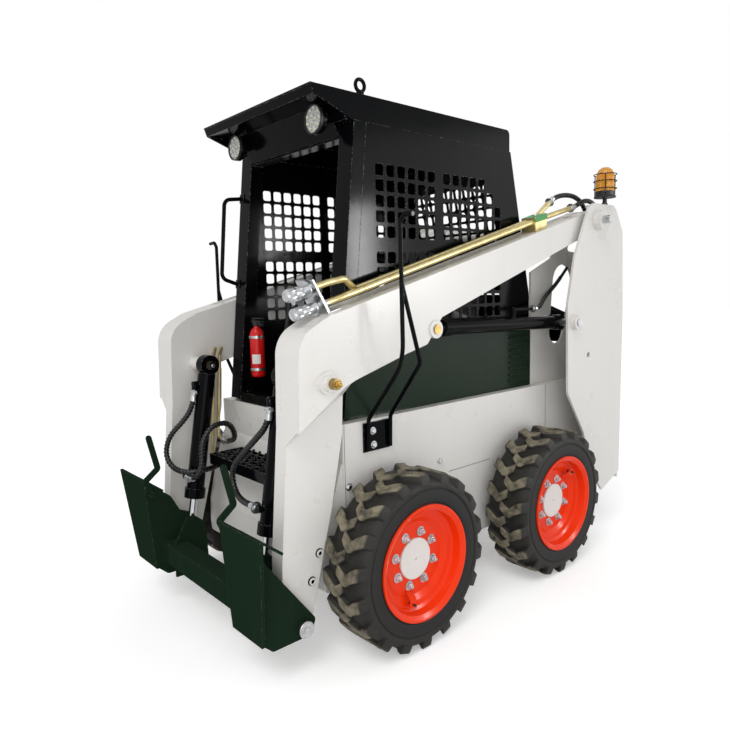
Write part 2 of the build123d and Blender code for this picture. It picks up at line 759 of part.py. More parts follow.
# Roof: pressed shell with gables, front eave, soffit and the fascia that carries the lamps
roof_half = body_half_width - 6
sheet = 6
eave_top = (253, roof_top_z)
eave_low = (240, 2055)
fascia_top = (125, 2055)
fascia_low = (62, 1945)
fascia_mid = (88.5, roof_line_z)
gable_outline = [
    (*eave_top, 0),
    (*eave_low, 0),
    (110, 2010, 30),
    (cab_front_top[0], roof_line_z, 0),
    (cab_rear_top[0], roof_line_z, 0),
    (cab_rear_top[0], roof_top_z, 24),
]
with BuildPart() as cab_roof:
    slab(gable_outline, roof_half - sheet, roof_half)
    with Locations((ahead(10), body_half_width - 19, roof_top_z)):
        Cylinder(15, 10, align=(Align.CENTER, Align.CENTER, Align.MIN))
    with Locations(Location((ahead(10), body_half_width - 19, roof_top_z + 34), (90, 0, 0))):
        Torus(22, 7)
    mirror(about=Plane.XZ)
    block((cab_rear_top[0] + 24, eave_top[0]), (-roof_half, roof_half), (roof_top_z - sheet, roof_top_z))
    block((cab_rear_top[0], cab_rear_top[0] + sheet), (sheet - roof_half, roof_half - sheet), (roof_line_z, 2070))
    slab(
        [
            (cab_rear_top[0], 2066, 0),
            (cab_rear_top[0] + 24, roof_top_z, 0),
            (cab_rear_top[0] + 30, roof_top_z - sheet, 0),
            (cab_rear_top[0] + sheet, 2062, 0),
        ],
        sheet - roof_half,
        roof_half - sheet,
    )
    slab(
        [
            (*eave_top, 0),
            (*eave_low, 0),
            (eave_low[0] - sheet, eave_low[1], 0),
            (eave_top[0] - sheet - 2, eave_top[1], 0),
        ],
        sheet - roof_half,
        roof_half - sheet,
    )
    block((fascia_top[0] - sheet, eave_low[0]), (sheet - roof_half, roof_half - sheet), (2055, 2055 + sheet))
    slab(
        [
            (*fascia_mid, 0),
            (*fascia_top, 0),
            (fascia_top[0] - 7, fascia_top[1], 0),
            (fascia_mid[0] - 7, fascia_mid[1], 0),
        ],
        sheet - roof_half,
        roof_half - sheet,
    )
    slab(
        [
            (*fascia_mid, 0),
            (*fascia_low, 0),
            (fascia_low[0] - 4, fascia_low[1] + 2, 0),
            (fascia_mid[0] - 7, fascia_mid[1], 0),
        ],
        running_gap - cab_opening_half,
        cab_opening_half - running_gap,
    )
save(cab_roof, "cab_roof")

# Rear panel with its guarded window, and the hood's hinge knuckles at its foot
hood_hinge = (-1071, 1333)
knuckle_radius = 6
knuckle_y = (230, 262)
rear_run = hypot(cab_rear_top[0] - cab_rear_low[0], cab_rear_top[1] - cab_rear_low[1])
rear_face = Plane(
    origin=(ahead(cab_rear_low[0]), 0, cab_rear_low[1]),
    x_dir=(0, 1, 0),
    z_dir=(cab_rear_top[1] - cab_rear_low[1], 0, cab_rear_low[0] - cab_rear_top[0]),
)
with BuildPart() as cab_rear:
    with BuildSketch(rear_face) as panel:
        with Locations((0, rear_run / 2)):
            Rectangle(2 * (body_half_width - cab_wall), rear_run)
        with Locations((0, rear_run * 0.56)):
            with GridLocations(hole_pitch, hole_pitch, 9, 6):
                cut_square(hole_size, hole_cut, mode=Mode.SUBTRACT)
    extrude(panel.sketch, amount=cab_wall)
    for side in (1, -1):
        y_low, y_high = sorted((side * knuckle_y[0], side * knuckle_y[1]))
        pin(hood_hinge, y_low, y_high, knuckle_radius)
        block((hood_hinge[0], cab_rear_low[0] + 4), (y_low, y_high), (hood_hinge[1] - 3, hood_hinge[1] + 6))
save(cab_rear, "cab_rear")

# Seat and the two control levers
seat_half = 225
with BuildPart() as seat:
    block((-760, -330), (-seat_half, seat_half), (cab_floor_z, 1040))
    block((-740, -300), (5 - seat_half, seat_half - 5), (1040, 1130))
    slab(
        [(-650, 1130, 0), (-760, 1130, 0), (-860, 1640, 30), (-770, 1650, 30)],
        15 - seat_half,
        seat_half - 15,
    )
save(seat, "seat")

with BuildPart() as control_levers:
    block((-60, -20), (230, 270), (cab_floor_z, 900))
    tube([(-40, 250, 895), (-40, 250, 1150), (-60, 235, 1320)], 11, 60)
    mirror(about=Plane.XZ)
save(control_levers, "control_levers")

# Side covers outside the cab's foot, each with a block of louvres at its rear
cover_sheet = 4
cover_y = (body_half_width + running_gap, body_half_width + running_gap + cover_sheet)
cover_top_z = 1200
louvre_x = (-1041, -893)
louvre_rows = 8
louvre_pitch = 30
louvre_low_z = 898
with BuildPart() as side_covers:
    slab(
        [
            (post_front(chassis_top_z) - 30, chassis_top_z + running_gap, 0),
            (post_front(cover_top_z) - 30, cover_top_z, 0),
            (-1070, cover_top_z, 0),
            (-1070, chassis_top_z + running_gap, 0),
        ],
        *cover_y,
    )
    for row in range(louvre_rows):
        z = louvre_low_z + louvre_pitch * row
        block(louvre_x, cover_y, (z, z + 12), Mode.SUBTRACT)
        with BuildSketch(Plane.YZ.offset(ahead(louvre_x[0]))) as hood_section:
            with BuildLine():
                Polyline((cover_y[1], z + 20), (cover_y[1] + 7, z + 2), (cover_y[1] + 5, z + 1), (cover_y[1], z + 13), close=True)
            make_face()
        extrude(hood_section.sketch, amount=louvre_x[1] - louvre_x[0])
    mirror(about=Plane.XZ)
save(side_covers, "side_covers")

# Engine bay: hood, tailgate with grille, and the engine as one block on its mounts
hood_outline = [(-1078, 1322, 0), (-1078, 1314, 0), (-1600, 1160, 0), (-1608, 1160, 0), (-1608, 1172, 0)]
with BuildPart() as engine_hood:
    slab(hood_outline, -door_half + 2, door_half - 2)
    for side in (1, -1):
        y_low = knuckle_y[1] + running_gap
        y_low, y_high = sorted((side * y_low, side * (y_low + 30)))
        pin(hood_hinge, y_low, y_high, knuckle_radius)
        block((-1086, hood_hinge[0]), (y_low, y_high), (1316, hood_hinge[1] + 6))
save(engine_hood, "engine_hood")

tailgate_x = (-1650, -1612)
tailgate_z = (440, 1150)
grille_slots = 9
slot_pitch = 44
with BuildPart() as tailgate:
    block(tailgate_x, (-door_half, door_half), tailgate_z)
    block((tailgate_x[0] + 4, tailgate_x[1]), (6 - door_half, door_half - 6), (tailgate_z[0] + 6, tailgate_z[1] - 6), Mode.SUBTRACT)
    for row in range(grille_slots):
        z = tailgate_z[0] + 220 + slot_pitch * row
        block((tailgate_x[0], tailgate_x[0] + 4), (-260, 260), (z, z + 24), Mode.SUBTRACT)
    for height in hinge_heights:
        upright((hinge_x, -hinge_y), height, height + 40, hinge_radius)
        block((hinge_x, tailgate_x[0]), (-hinge_y, -hinge_y + 60), (height, height + 40))
save(tailgate, "tailgate")

engine_z = (420, 1020)
with BuildPart() as engine_block:
    block((-1540, -1020), (-230, 230), engine_z)
    for x in (-1470, -1090):
        for y in (-190, 190):
            block((x - 30, x + 30), (y - 25, y + 25), (chassis_floor_z + floor_plate, engine_z[0]))
save(engine_block, "engine_block")

# Front step: framed grating on the chassis front plate
step_front_x = 385
step_half = 245
step_z = (622, 668)
bar = 5
with BuildPart() as front_step:
    block((front_body_x + running_gap, step_front_x), (-step_half, step_half), step_z)
    block(
        (front_body_x + running_gap + bar, step_front_x - bar),
        (bar - step_half, step_half - bar),
        step_z,
        Mode.SUBTRACT,
    )
    for line_x in range(front_body_x + 32, step_front_x - 10, 30):
        block((line_x, line_x + bar), (bar - step_half, step_half - bar), (step_z[0] + 12, step_z[1]))
    for line_y in range(-200, 201, 50):
        block(
            (front_body_x + running_gap + bar, step_front_x - bar),
            (line_y - bar / 2, line_y + bar / 2),
            (step_z[0] + 12, step_z[1] - 6),
        )
save(front_step, "front_step")

# Guard rods each side, on bracket plates bolted to the chassis
rod_radius = 8
rod_foot_y = chassis_half_width + 7 + rod_radius
rod_out_y = tower_outer_y[1] + 73
with BuildPart() as guard_rods:
    block((-40, 95), (chassis_half_width, chassis_half_width + 7), (741, 855))
    tube(
        [
            (80, rod_foot_y, 748),
            (80, rod_foot_y + 4, 870),
            (80, rod_out_y, 1101),
            (80, rod_out_y - 3, 1593),
            (80, rod_out_y + 16, 1617),
            (80, rod_out_y + 59, 1614),
        ],
        rod_radius,
        [30, 200, 14, 14],
    )
    tube(
        [
            (-35, rod_foot_y, 748),
            (-35, rod_foot_y + 4, 870),
            (0, rod_out_y + 8, 1094),
            (80, rod_out_y, 1380),
        ],
        rod_radius,
        [30, 30],
    )
    mirror(about=Plane.XZ)
save(guard_rods, "guard_rods")

# Grab handle on the right post
grab_y = 10 - body_half_width
grab_heights = (1797, 1404)
with BuildPart() as grab_handle:
    tube(
        [
            (post_front(grab_heights[0]) + 4, grab_y, grab_heights[0]),
            (170, grab_y, 1787),
            (203, grab_y, 1430),
            (post_front(grab_heights[1]) + 4, grab_y, grab_heights[1]),
        ],
        9,
        34,
    )
    for height in grab_heights:
        slab(
            [
                (post_front(height + 20) + running_gap, height + 20, 0),
                (post_front(height - 20) + running_gap, height - 20, 0),
                (post_front(height - 20) + 5, height - 20, 0),
                (post_front(height + 20) + 5, height + 20, 0),
            ],
            grab_y - 10,
            grab_y + 22,
        )
save(grab_handle, "grab_handle")

# Work lights on the fascia
lamp_face = (157, 289, 1999)  # ahead, y, height
lamp_radius = 54
with BuildPart() as work_lights:
    lamp_plane = Plane(origin=(ahead(lamp_face[0]), lamp_face[1], lamp_face[2]), z_dir=(1, 0, 0))
    with BuildSketch(lamp_plane) as lens:
        Circle(lamp_radius)
    extrude(lens.sketch, amount=-18)
    with BuildSketch(lamp_plane.offset(-18)) as bowl:
        Circle(lamp_radius - 5)
    extrude(bowl.sketch, amount=-16, taper=22)
    slab(
        [
            (*along(fascia_mid, fascia_top, 30), 0),
            (*fascia_mid, 0),
            (lamp_face[0] - 30, fascia_mid[1], 0),
            (lamp_face[0] - 30, fascia_mid[1] + 25, 0),
        ],
        lamp_face[1] - 12,
        lamp_face[1] + 12,
    )
    mirror(about=Plane.XZ)
save(work_lights, "work_lights")

# Fire extinguisher on a bracket inside the right post
bottle = (106, 50 - cab_opening_half)
bottle_radius = 40
with BuildPart() as fire_extinguisher:
    with BuildSketch(Plane.XZ.offset(-bottle[1])) as half:
        with BuildLine():
            Polyline(
                (ahead(bottle[0]), 974),
                (ahead(bottle[0]) + 36, 974),
                (ahead(bottle[0]) + bottle_radius, 980),
                (ahead(bottle[0]) + bottle_radius, 1160),
                (ahead(bottle[0]) + 28, 1184),
                (ahead(bottle[0]) + 14, 1192),
                (ahead(bottle[0]) + 14, 1222),
                (ahead(bottle[0]), 1222),
                close=True,
            )
        make_face()
    revolve(half.sketch, axis=Axis((ahead(bottle[0]), bottle[1], 0), (0, 0, 1)))
    block((bottle[0] - 12, bottle[0] + 44), (bottle[1] - 9, bottle[1] + 9), (1218, 1232))
    block((bottle[0] - 20, bottle[0] + 50), (bottle[1] - 7, bottle[1] + 7), (1240, 1257))
    block((bottle[0] - 14, bottle[0] + 2), (bottle[1] - 6, bottle[1] + 6), (1230, 1242))
    block((bottle[0] - 14, bottle[0] + 14), (-cab_opening_half, bottle[1] - 30), (1010, 1150))
save(fire_extinguisher, "fire_extinguisher")

# Beacon on the left tower: bracket, base, dome and wire guard
beacon_place = (-1463, tower_outer_y[0] + 6)
guard_ring = 56
guard_wire = 3
with BuildPart() as beacon:
    block((beacon_place[0] - 22, beacon_place[0] + 22), tower_outer_y, (1768, 1774))
    upright(beacon_place, 1774, 1800, 11)
    upright(beacon_place, 1800, 1806, guard_ring + 4)
    upright(beacon_place, 1806, 1832, 50)
    with BuildSketch(Plane(origin=(ahead(beacon_place[0]), beacon_place[1], 1832), z_dir=(0, 0, 1))) as dome:
        Circle(46)
    extrude(dome.sketch, amount=84, taper=3)
    with Locations((ahead(beacon_place[0]), beacon_place[1], 1916)):
        Sphere(41.6, arc_size1=0)
    with Locations((ahead(beacon_place[0]), beacon_place[1], 1880)):
        Torus(guard_ring, guard_wire)
    for off_x, off_y in ((guard_ring, 0), (-guard_ring, 0), (0, guard_ring), (0, -guard_ring)):
        upright((beacon_place[0] + off_x, beacon_place[1] + off_y), 1803, 1880, guard_wire)
save(beacon, "beacon")

# Auxiliary pipes on the left arm, clamp, and the short oil pipes inside both legs
pipe_y = arm_inner_y + 68
pipe_radius = 12.5
pipe_high_y = pipe_y - 34
clamp_x = (-1080, -928)
pipe_ends = [(281, 1319), (332, 1374.6)]  # low and high pipe at the couplers
pipe_tails = [(-1287, 1746), (-1151, 1765)]  # at the rear, where the hoses begin
leg_pipe_y = arm_inner_y - 12
leg_pipe_ends = [(290, 606), (256, 690)]
leg_pipe_end_y = 352
leg_clips = (780, 1010)  # heights


with BuildPart() as arm_pipes:
    tube(
        [
            (pipe_ends[0][0] - running_gap, pipe_y, pipe_ends[0][1]),
            (194, pipe_y, 1342),
            (-1094, pipe_y, 1697),
            (pipe_tails[0][0], pipe_y, pipe_tails[0][1]),
        ],
        pipe_radius,
        60,
    )
    tube(
        [
            (pipe_ends[1][0] - running_gap, pipe_y, pipe_ends[1][1]),
            (272, pipe_y, 1390),
            (196, pipe_y, 1404),
            (120, pipe_high_y, 1366),
            (-1030, pipe_high_y, 1683),
            (pipe_tails[1][0], pipe_high_y, pipe_tails[1][1]),
        ],
        pipe_radius,
        [60, 40, 40, 60],
    )
    slab(
        [
            (clamp_x[1] - 30, beam_top(clamp_x[1] - 30) - top_groove, 0),
            (clamp_x[0] + 30, beam_top(clamp_x[0] + 30) - top_groove, 0),
            (clamp_x[0] + 34, beam_top(clamp_x[0] + 34) + 62, 0),
            (clamp_x[1] - 26, beam_top(clamp_x[1] - 26) + 62, 0),
        ],
        pipe_high_y - 19,
        pipe_y + 24,
    )
    for side in (1, -1):
        for (front_x, height), (top_x, top_z) in zip(leg_pipe_ends, [(257, 1103), (226, 1101)]):
            tube(
                [
                    (top_x, side * (leg_pipe_y - 20), top_z + 14),
                    (top_x, side * leg_pipe_y, top_z - 20),
                    (front_x, side * leg_pipe_y, height),
                    (front_x, side * leg_pipe_end_y, height),
                ],
                7,
                [18, 26],
            )
            for clip_z in leg_clips:
                clip_x = front_x + (top_x - front_x) * (clip_z - height) / (top_z - 20 - height)
                y_low, y_high = sorted((side * leg_pipe_y, side * arm_inner_y))
                block((clip_x - 6, clip_x + 6), (y_low, y_high), (clip_z - 8, clip_z + 8))
save(arm_pipes, "arm_pipes")

# Couplers of the auxiliary pipes on their bracket
coupler_tips = [(425, 1280.9), (450, 1344.3)]
with BuildPart() as quick_couplers:
    slab(
        [
            (250, beam_top(250), 0),
            (302, beam_top(302), 0),
            (368.5, 1398, 0),
            (363.5, 1401, 0),
            (296, beam_top(296) + 6, 0),
            (250, beam_top(250) + 6, 0),
        ],
        pipe_y - 58,
        pipe_y + 42,
    )
    for start, tip in zip(pipe_ends, coupler_tips):
        rod_between(start, tip, pipe_y, 15)
        rod_between(along(start, tip, 62), along(tip, start, 30), pipe_y, 20)
        rod_between(along(tip, start, 14), tip, pipe_y, 18)
    rod_between((322, 1346), (392, 1328), pipe_y - 42, 9)
    rod_between((362, 1335.7), (392, 1328), pipe_y - 42, 14)
save(quick_couplers, "quick_couplers")

# Hoses: at the tilt cylinders, at the lift cylinders and over the left tower
hose_radius = 10
slim_hose_radius = 8
hose_start, hose_turn = beside_barrel(stub_length + running_gap), beside_barrel(stub_length + 66)
long_hose = [
    (hose_start[0], tilt_cylinder_y, hose_start[1]),
    (hose_turn[0], tilt_cylinder_y, hose_turn[1]),
    (428, 206, 806),
    (429, 120, 742),
    (430, 34, 672),
    (430, 28, 610),
    (435, 70, 565),
    (452, 140, 562),
    (low_stub[0], 218, low_stub[1]),
    (low_stub[0], low_stub_y - running_gap, low_stub[1]),
]
outer_hose = [
    (hose_start[0], -tilt_cylinder_y, hose_start[1]),
    (hose_turn[0], -tilt_cylinder_y, hose_turn[1]),
    (452, -326, 818),
    (512, -362, 752),
    (530, -378, 672),
    (522, -340, 616),
    (500, -270, 600),
    (440, -232, 602),
    (372, -246, 600),
    (leg_pipe_ends[0][0], -284, leg_pipe_ends[0][1]),
    (leg_pipe_ends[0][0], running_gap - leg_pipe_end_y, leg_pipe_ends[0][1]),
]
arched_hose = [
    (low_stub[0], running_gap - low_stub_y, low_stub[1]),
    (low_stub[0], -216, low_stub[1]),
    (448, -196, 630),
    (440, -208, 692),
    (428, -214, 742),
    (384, -214, 796),
    (302, -214, 800),
    (262, -228, 732),
    (leg_pipe_ends[1][0], -276, leg_pipe_ends[1][1]),
    (leg_pipe_ends[1][0], running_gap - leg_pipe_end_y, leg_pipe_ends[1][1]),
]
with BuildPart() as tilt_hoses:
    hose("long hose", long_hose, hose_radius)
    hose("outer hose", outer_hose, hose_radius)
    hose("arched hose", arched_hose, hose_radius)
save(tilt_hoses, "tilt_hoses")

slot_hose = [
    (-1394, tower_inner_y[1] + 11, 1454),
    (-1300, tower_inner_y[1] + 11, 1372),
    (-1190, tower_inner_y[1] + 15, 1312),
    (-1090, lift_cylinder_y - 30, 1272),
    (-1020, lift_cylinder_y, lift_pipe_z),
    (lift_pipe_rear - running_gap, lift_cylinder_y, lift_pipe_z),
]
with BuildPart() as barrel_hoses:
    hose("slot hose", slot_hose, slim_hose_radius)
    mirror(about=Plane.XZ)
save(barrel_hoses, "barrel_hoses")

low_tail, high_tail = pipe_tails
tower_hoses = {
    "low tower hose": [
        (low_tail[0] - running_gap, pipe_y, low_tail[1]),
        (low_tail[0] - 58, pipe_y, low_tail[1] + 14.7),
        (-1420, pipe_y, 1795),
        (-1500, pipe_y, 1798),
        (-1566, pipe_y, 1756),
        (-1592, pipe_y, 1690),
    ],
    "high tower hose": [
        (high_tail[0] - running_gap, pipe_high_y, high_tail[1]),
        (high_tail[0] - 49, pipe_high_y, high_tail[1] + 33.2),
        (-1300, pipe_high_y, 1820),
        (-1400, pipe_high_y, 1818),
        (-1479, pipe_high_y, 1784),
        (-1528, pipe_high_y, 1718),
    ],
}
with BuildPart() as arm_hoses:
    for name, route_points in tower_hoses.items():
        hose(name, route_points, hose_radius)
save(arm_hoses, "arm_hoses")
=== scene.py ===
# %% [markdown]
# # A skid steer loader, dressed for a studio photograph
#
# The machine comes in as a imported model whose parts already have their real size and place. This
# lesson gives every surface its finish, adds the bolts, hoses and small trim that a modeller of
# mechanical parts leaves out, and sets up the floor, the lights and the camera.

import bpy
from mathutils import Matrix, Vector


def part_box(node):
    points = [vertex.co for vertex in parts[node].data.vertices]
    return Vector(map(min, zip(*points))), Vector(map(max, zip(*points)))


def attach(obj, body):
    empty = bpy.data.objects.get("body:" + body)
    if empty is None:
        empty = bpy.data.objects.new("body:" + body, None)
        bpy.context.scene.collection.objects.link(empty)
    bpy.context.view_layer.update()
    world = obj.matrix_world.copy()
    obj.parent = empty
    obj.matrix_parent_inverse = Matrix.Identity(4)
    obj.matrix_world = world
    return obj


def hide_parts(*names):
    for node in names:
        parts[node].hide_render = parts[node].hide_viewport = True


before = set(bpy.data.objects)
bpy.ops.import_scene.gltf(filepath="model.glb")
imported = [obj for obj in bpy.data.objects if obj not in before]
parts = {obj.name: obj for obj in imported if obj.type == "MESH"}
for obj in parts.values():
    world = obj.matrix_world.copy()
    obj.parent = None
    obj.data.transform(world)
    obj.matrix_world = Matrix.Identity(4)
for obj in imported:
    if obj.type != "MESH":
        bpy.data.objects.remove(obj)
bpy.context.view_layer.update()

# %% [markdown]
# ## Camera
#
# The picture was taken from the machine's front left corner, a little below the cab's middle, with a
# lens of about 31 mm on a full-size sensor. The place is written from the front axle, because the
# wheels are the surest scale in the picture. A camera looks along its own -Z, so its matrix takes
# the right and up directions as they are and the viewing direction with its sign turned.

# %% Set up the camera
from math import cos, radians, sin

front_axle_x = sum(corner.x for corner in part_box("tyre_front_left")) / 2
camera_place = Vector((front_axle_x + 1.6368, 2.2363, 1.3581))
camera_yaw = -2.2888
camera_pitch = 0.1173
camera_roll = -0.0241
lens_mm = 31.0
sensor_mm = 36.0

looking = Vector((
    cos(camera_yaw) * cos(camera_pitch),
    sin(camera_yaw) * cos(camera_pitch),
    -sin(camera_pitch),
))
level_right = looking.cross(Vector((0, 0, 1))).normalized()
level_up = level_right.cross(looking)
right = level_right * cos(camera_roll) + level_up * sin(camera_roll)
up = level_up * cos(camera_roll) - level_right * sin(camera_roll)

camera_data = bpy.data.cameras.new("camera")
camera_data.sensor_width = sensor_mm
camera_data.lens = lens_mm
camera = bpy.data.objects.new("camera", camera_data)
bpy.context.scene.collection.objects.link(camera)
camera.matrix_world = Matrix((
    (right.x, up.x, -looking.x, camera_place.x),
    (right.y, up.y, -looking.y, camera_place.y),
    (right.z, up.z, -looking.z, camera_place.z),
    (0, 0, 0, 1),
))
bpy.context.scene.camera = camera
print("camera at", tuple(round(value, 3) for value in camera_place))

# %% [markdown]
# ## Colour and node helpers
#
# Paint colours are read as sRGB hex values, the way a colour card or a picture gives them, while
# shaders work in linear light. One function turns one into the other. Another adds a shader node,
# sets its values and joins its inputs. The others make the few kinds of node that come back in every
# material, noise, ranges, sums, mixes and bumps, so that each one below reads as a short recipe.

# %% Helpers for colours and shader nodes
def linear(hex_colour):
    """Linear RGBA of an sRGB hex colour such as "e4e2dd"."""
    channels = [int(hex_colour[start:start + 2], 16) / 255 for start in (0, 2, 4)]
    return tuple(c / 12.92 if c <= 0.04045 else ((c + 0.055) / 1.055) ** 2.4 for c in channels) + (1.0,)


def add_node(tree, kind, settings=None, links=None):
    """Adds a node of a kind, sets its properties and inputs by name and links its inputs."""
    made = tree.nodes.new(kind)
    for name, value in (settings or {}).items():
        if isinstance(name, str) and name not in made.inputs:
            setattr(made, name, value)
        else:
            made.inputs[name].default_value = value
    for name, source in (links or {}).items():
        tree.links.new(source, made.inputs[name])
    return made


def new_material(name):
    """An empty node material with its shader and the object's own coordinates."""
    material = bpy.data.materials.new(name)
    material.use_nodes = True
    tree = material.node_tree
    shader = tree.nodes["Principled BSDF"]
    place = add_node(tree, "ShaderNodeTexCoord").outputs["Object"]
    return material, tree, shader, place


def noise(tree, place, scale, detail, roughness=0.5):
    """The value of a noise texture over a place."""
    settings = {"Scale": scale, "Detail": detail, "Roughness": roughness}
    return add_node(tree, "ShaderNodeTexNoise", settings, {"Vector": place}).outputs["Fac"]


def remap(tree, value, low=0.0, high=1.0, to_low=0.0, to_high=1.0):
    """A value taken from one range to another and held at its ends."""
    settings = {"From Min": low, "From Max": high, "To Min": to_low, "To Max": to_high}
    return add_node(tree, "ShaderNodeMapRange", settings, {"Value": value}).outputs[0]


def calculate(tree, operation, *values):
    """The result of a calculation, whose values are numbers or sockets."""
    made = add_node(tree, "ShaderNodeMath", {"operation": operation})
    for value, socket in zip(values, made.inputs):
        if isinstance(value, float):
            socket.default_value = value
        else:
            tree.links.new(value, socket)
    return made.outputs[0]


def blend(tree, share, first, second):
    """A mix of two colours, each of them a hex value or a socket."""
    mixed = add_node(tree, "ShaderNodeMix", {"data_type": "RGBA"}, {"Factor": share})
    for name, colour in (("A", first), ("B", second)):
        if isinstance(colour, str):
            mixed.inputs[name].default_value = linear(colour)
        else:
            tree.links.new(colour, mixed.inputs[name])
    return mixed.outputs["Result"]


def raise_surface(tree, shader, height, strength, distance, normal=None):
    """Lets a height bump a shader's surface, on top of another normal if there is one."""
    links = {"Height": height}
    if normal is not None:
        links["Normal"] = normal
    relief = add_node(tree, "ShaderNodeBump", {"Strength": strength, "Distance": distance}, links)
    tree.links.new(relief.outputs["Normal"], shader.inputs["Normal"])


def set_shader(shader, values):
    """Sets constants on a shader's sockets."""
    for name, value in values.items():
        shader.inputs[name].default_value = value


print("white of the arms, linear:", [round(c, 3) for c in linear("dcdad6")])

# %% [markdown]
# ## Floor, sky and lamps
#
# The machine stands on a plain pale floor that keeps its shadow. The light is that of a bright
# overcast yard: a pale dome of sky from everywhere, one broad soft sun from the front left, a large
# soft panel behind the left side that the black plates mirror, and weak fill from the front and from
# the camera's place. A narrow panel is there only for its reflection, the pale gleam down the front
# edge of the cab's side, so it gives no diffuse light. The background is white because camera, glossy
# and transmission rays see a brighter sky than the machine does, not from stronger lamps.
# The Standard view turns linear light into screen colours without bending them, so that a paint
# renders about as its hex value is written.

# %% Build the floor
floor_half = 30.0
floor_lift = 0.3  # what the floor adds for the camera alone, so that it reads as white
floor_mesh = bpy.data.meshes.new("floor")
floor_mesh.from_pydata(
    [
        (-floor_half, -floor_half, 0), (floor_half, -floor_half, 0), (floor_half, floor_half, 0),
        (-floor_half, floor_half, 0),
    ],
    [],
    [(0, 1, 2, 3)],
)
floor = bpy.data.objects.new("floor", floor_mesh)
bpy.context.scene.collection.objects.link(floor)
floor_paint, tree, shader, place = new_material("pale_floor")
floor_tone = blend(tree, noise(tree, place, 60.0, 3.0), "f4f4f4", "f8f8f8")
tree.links.new(floor_tone, shader.inputs["Base Color"])
set_shader(shader, {"Roughness": 0.9, "Specular IOR Level": 0.1, "Emission Color": (1, 1, 1, 1)})
straight_view = add_node(tree, "ShaderNodeLightPath").outputs["Is Camera Ray"]
added_light = calculate(tree, "MULTIPLY", straight_view, floor_lift)
tree.links.new(added_light, shader.inputs["Emission Strength"])
floor_mesh.materials.append(floor_paint)
print("floor", 2 * floor_half, "m wide")

# %% Build the sky
bpy.context.scene.view_settings.view_transform = "Standard"
sky_level = 0.62
mirrored_share = 0.5  # how far towards full white a glossy surface sees the sky
sky = bpy.data.worlds.new("sky")
bpy.context.scene.world = sky
sky.use_nodes = True
sky_tree = sky.node_tree
rays = add_node(sky_tree, "ShaderNodeLightPath")
seen = calculate(
    sky_tree, "MAXIMUM", rays.outputs["Is Camera Ray"], rays.outputs["Is Transmission Ray"],
)
glossy_share = calculate(sky_tree, "MULTIPLY", rays.outputs["Is Glossy Ray"], mirrored_share)
seen = calculate(sky_tree, "MAXIMUM", seen, glossy_share)
level = remap(sky_tree, seen, to_low=sky_level)
background = sky_tree.nodes["Background"]
background.inputs["Color"].default_value = (1, 1, 1, 1)
sky_tree.links.new(level, background.inputs["Strength"])
print("sky level", sky_level)

# %% Hang the sun and the panels
sun_data = bpy.data.lights.new("soft_sun", "SUN")
sun_data.energy = 0.85
sun_data.angle = radians(25)
sun = bpy.data.objects.new("soft_sun", sun_data)
bpy.context.scene.collection.objects.link(sun)
sun.rotation_euler = (radians(38), 0, radians(120))


def light_panel(name, centre, target, width, height, power):
    """A large soft lamp at a place, turned to face a target."""
    data = bpy.data.lights.new(name, "AREA")
    data.shape = "RECTANGLE"
    data.size = width
    data.size_y = height
    data.energy = power
    panel = bpy.data.objects.new(name, data)
    bpy.context.scene.collection.objects.link(panel)
    panel.location = centre
    panel.rotation_euler = (Vector(target) - Vector(centre)).to_track_quat("-Z", "Y").to_euler()
    return panel


light_panel("left_panel", (-5.5, 6.8, 2.0), (0.2, 0.4, 1.3), 5.0, 4.0, 92)
light_panel("front_panel", (7.0, 1.0, 3.0), (0.3, 0.0, 1.2), 3.0, 3.0, 5)
light_panel("camera_fill", camera_place, (0.3, 0.0, 0.7), 2.0, 2.0, 17)
post_gleam = light_panel("post_gleam", (-2.06, 3.41, 1.75), (0.55, 0.4, 1.53), 0.3, 0.9, 45)
post_gleam.visible_diffuse = False
print("sun", round(sun_data.energy, 2), "panels 4")
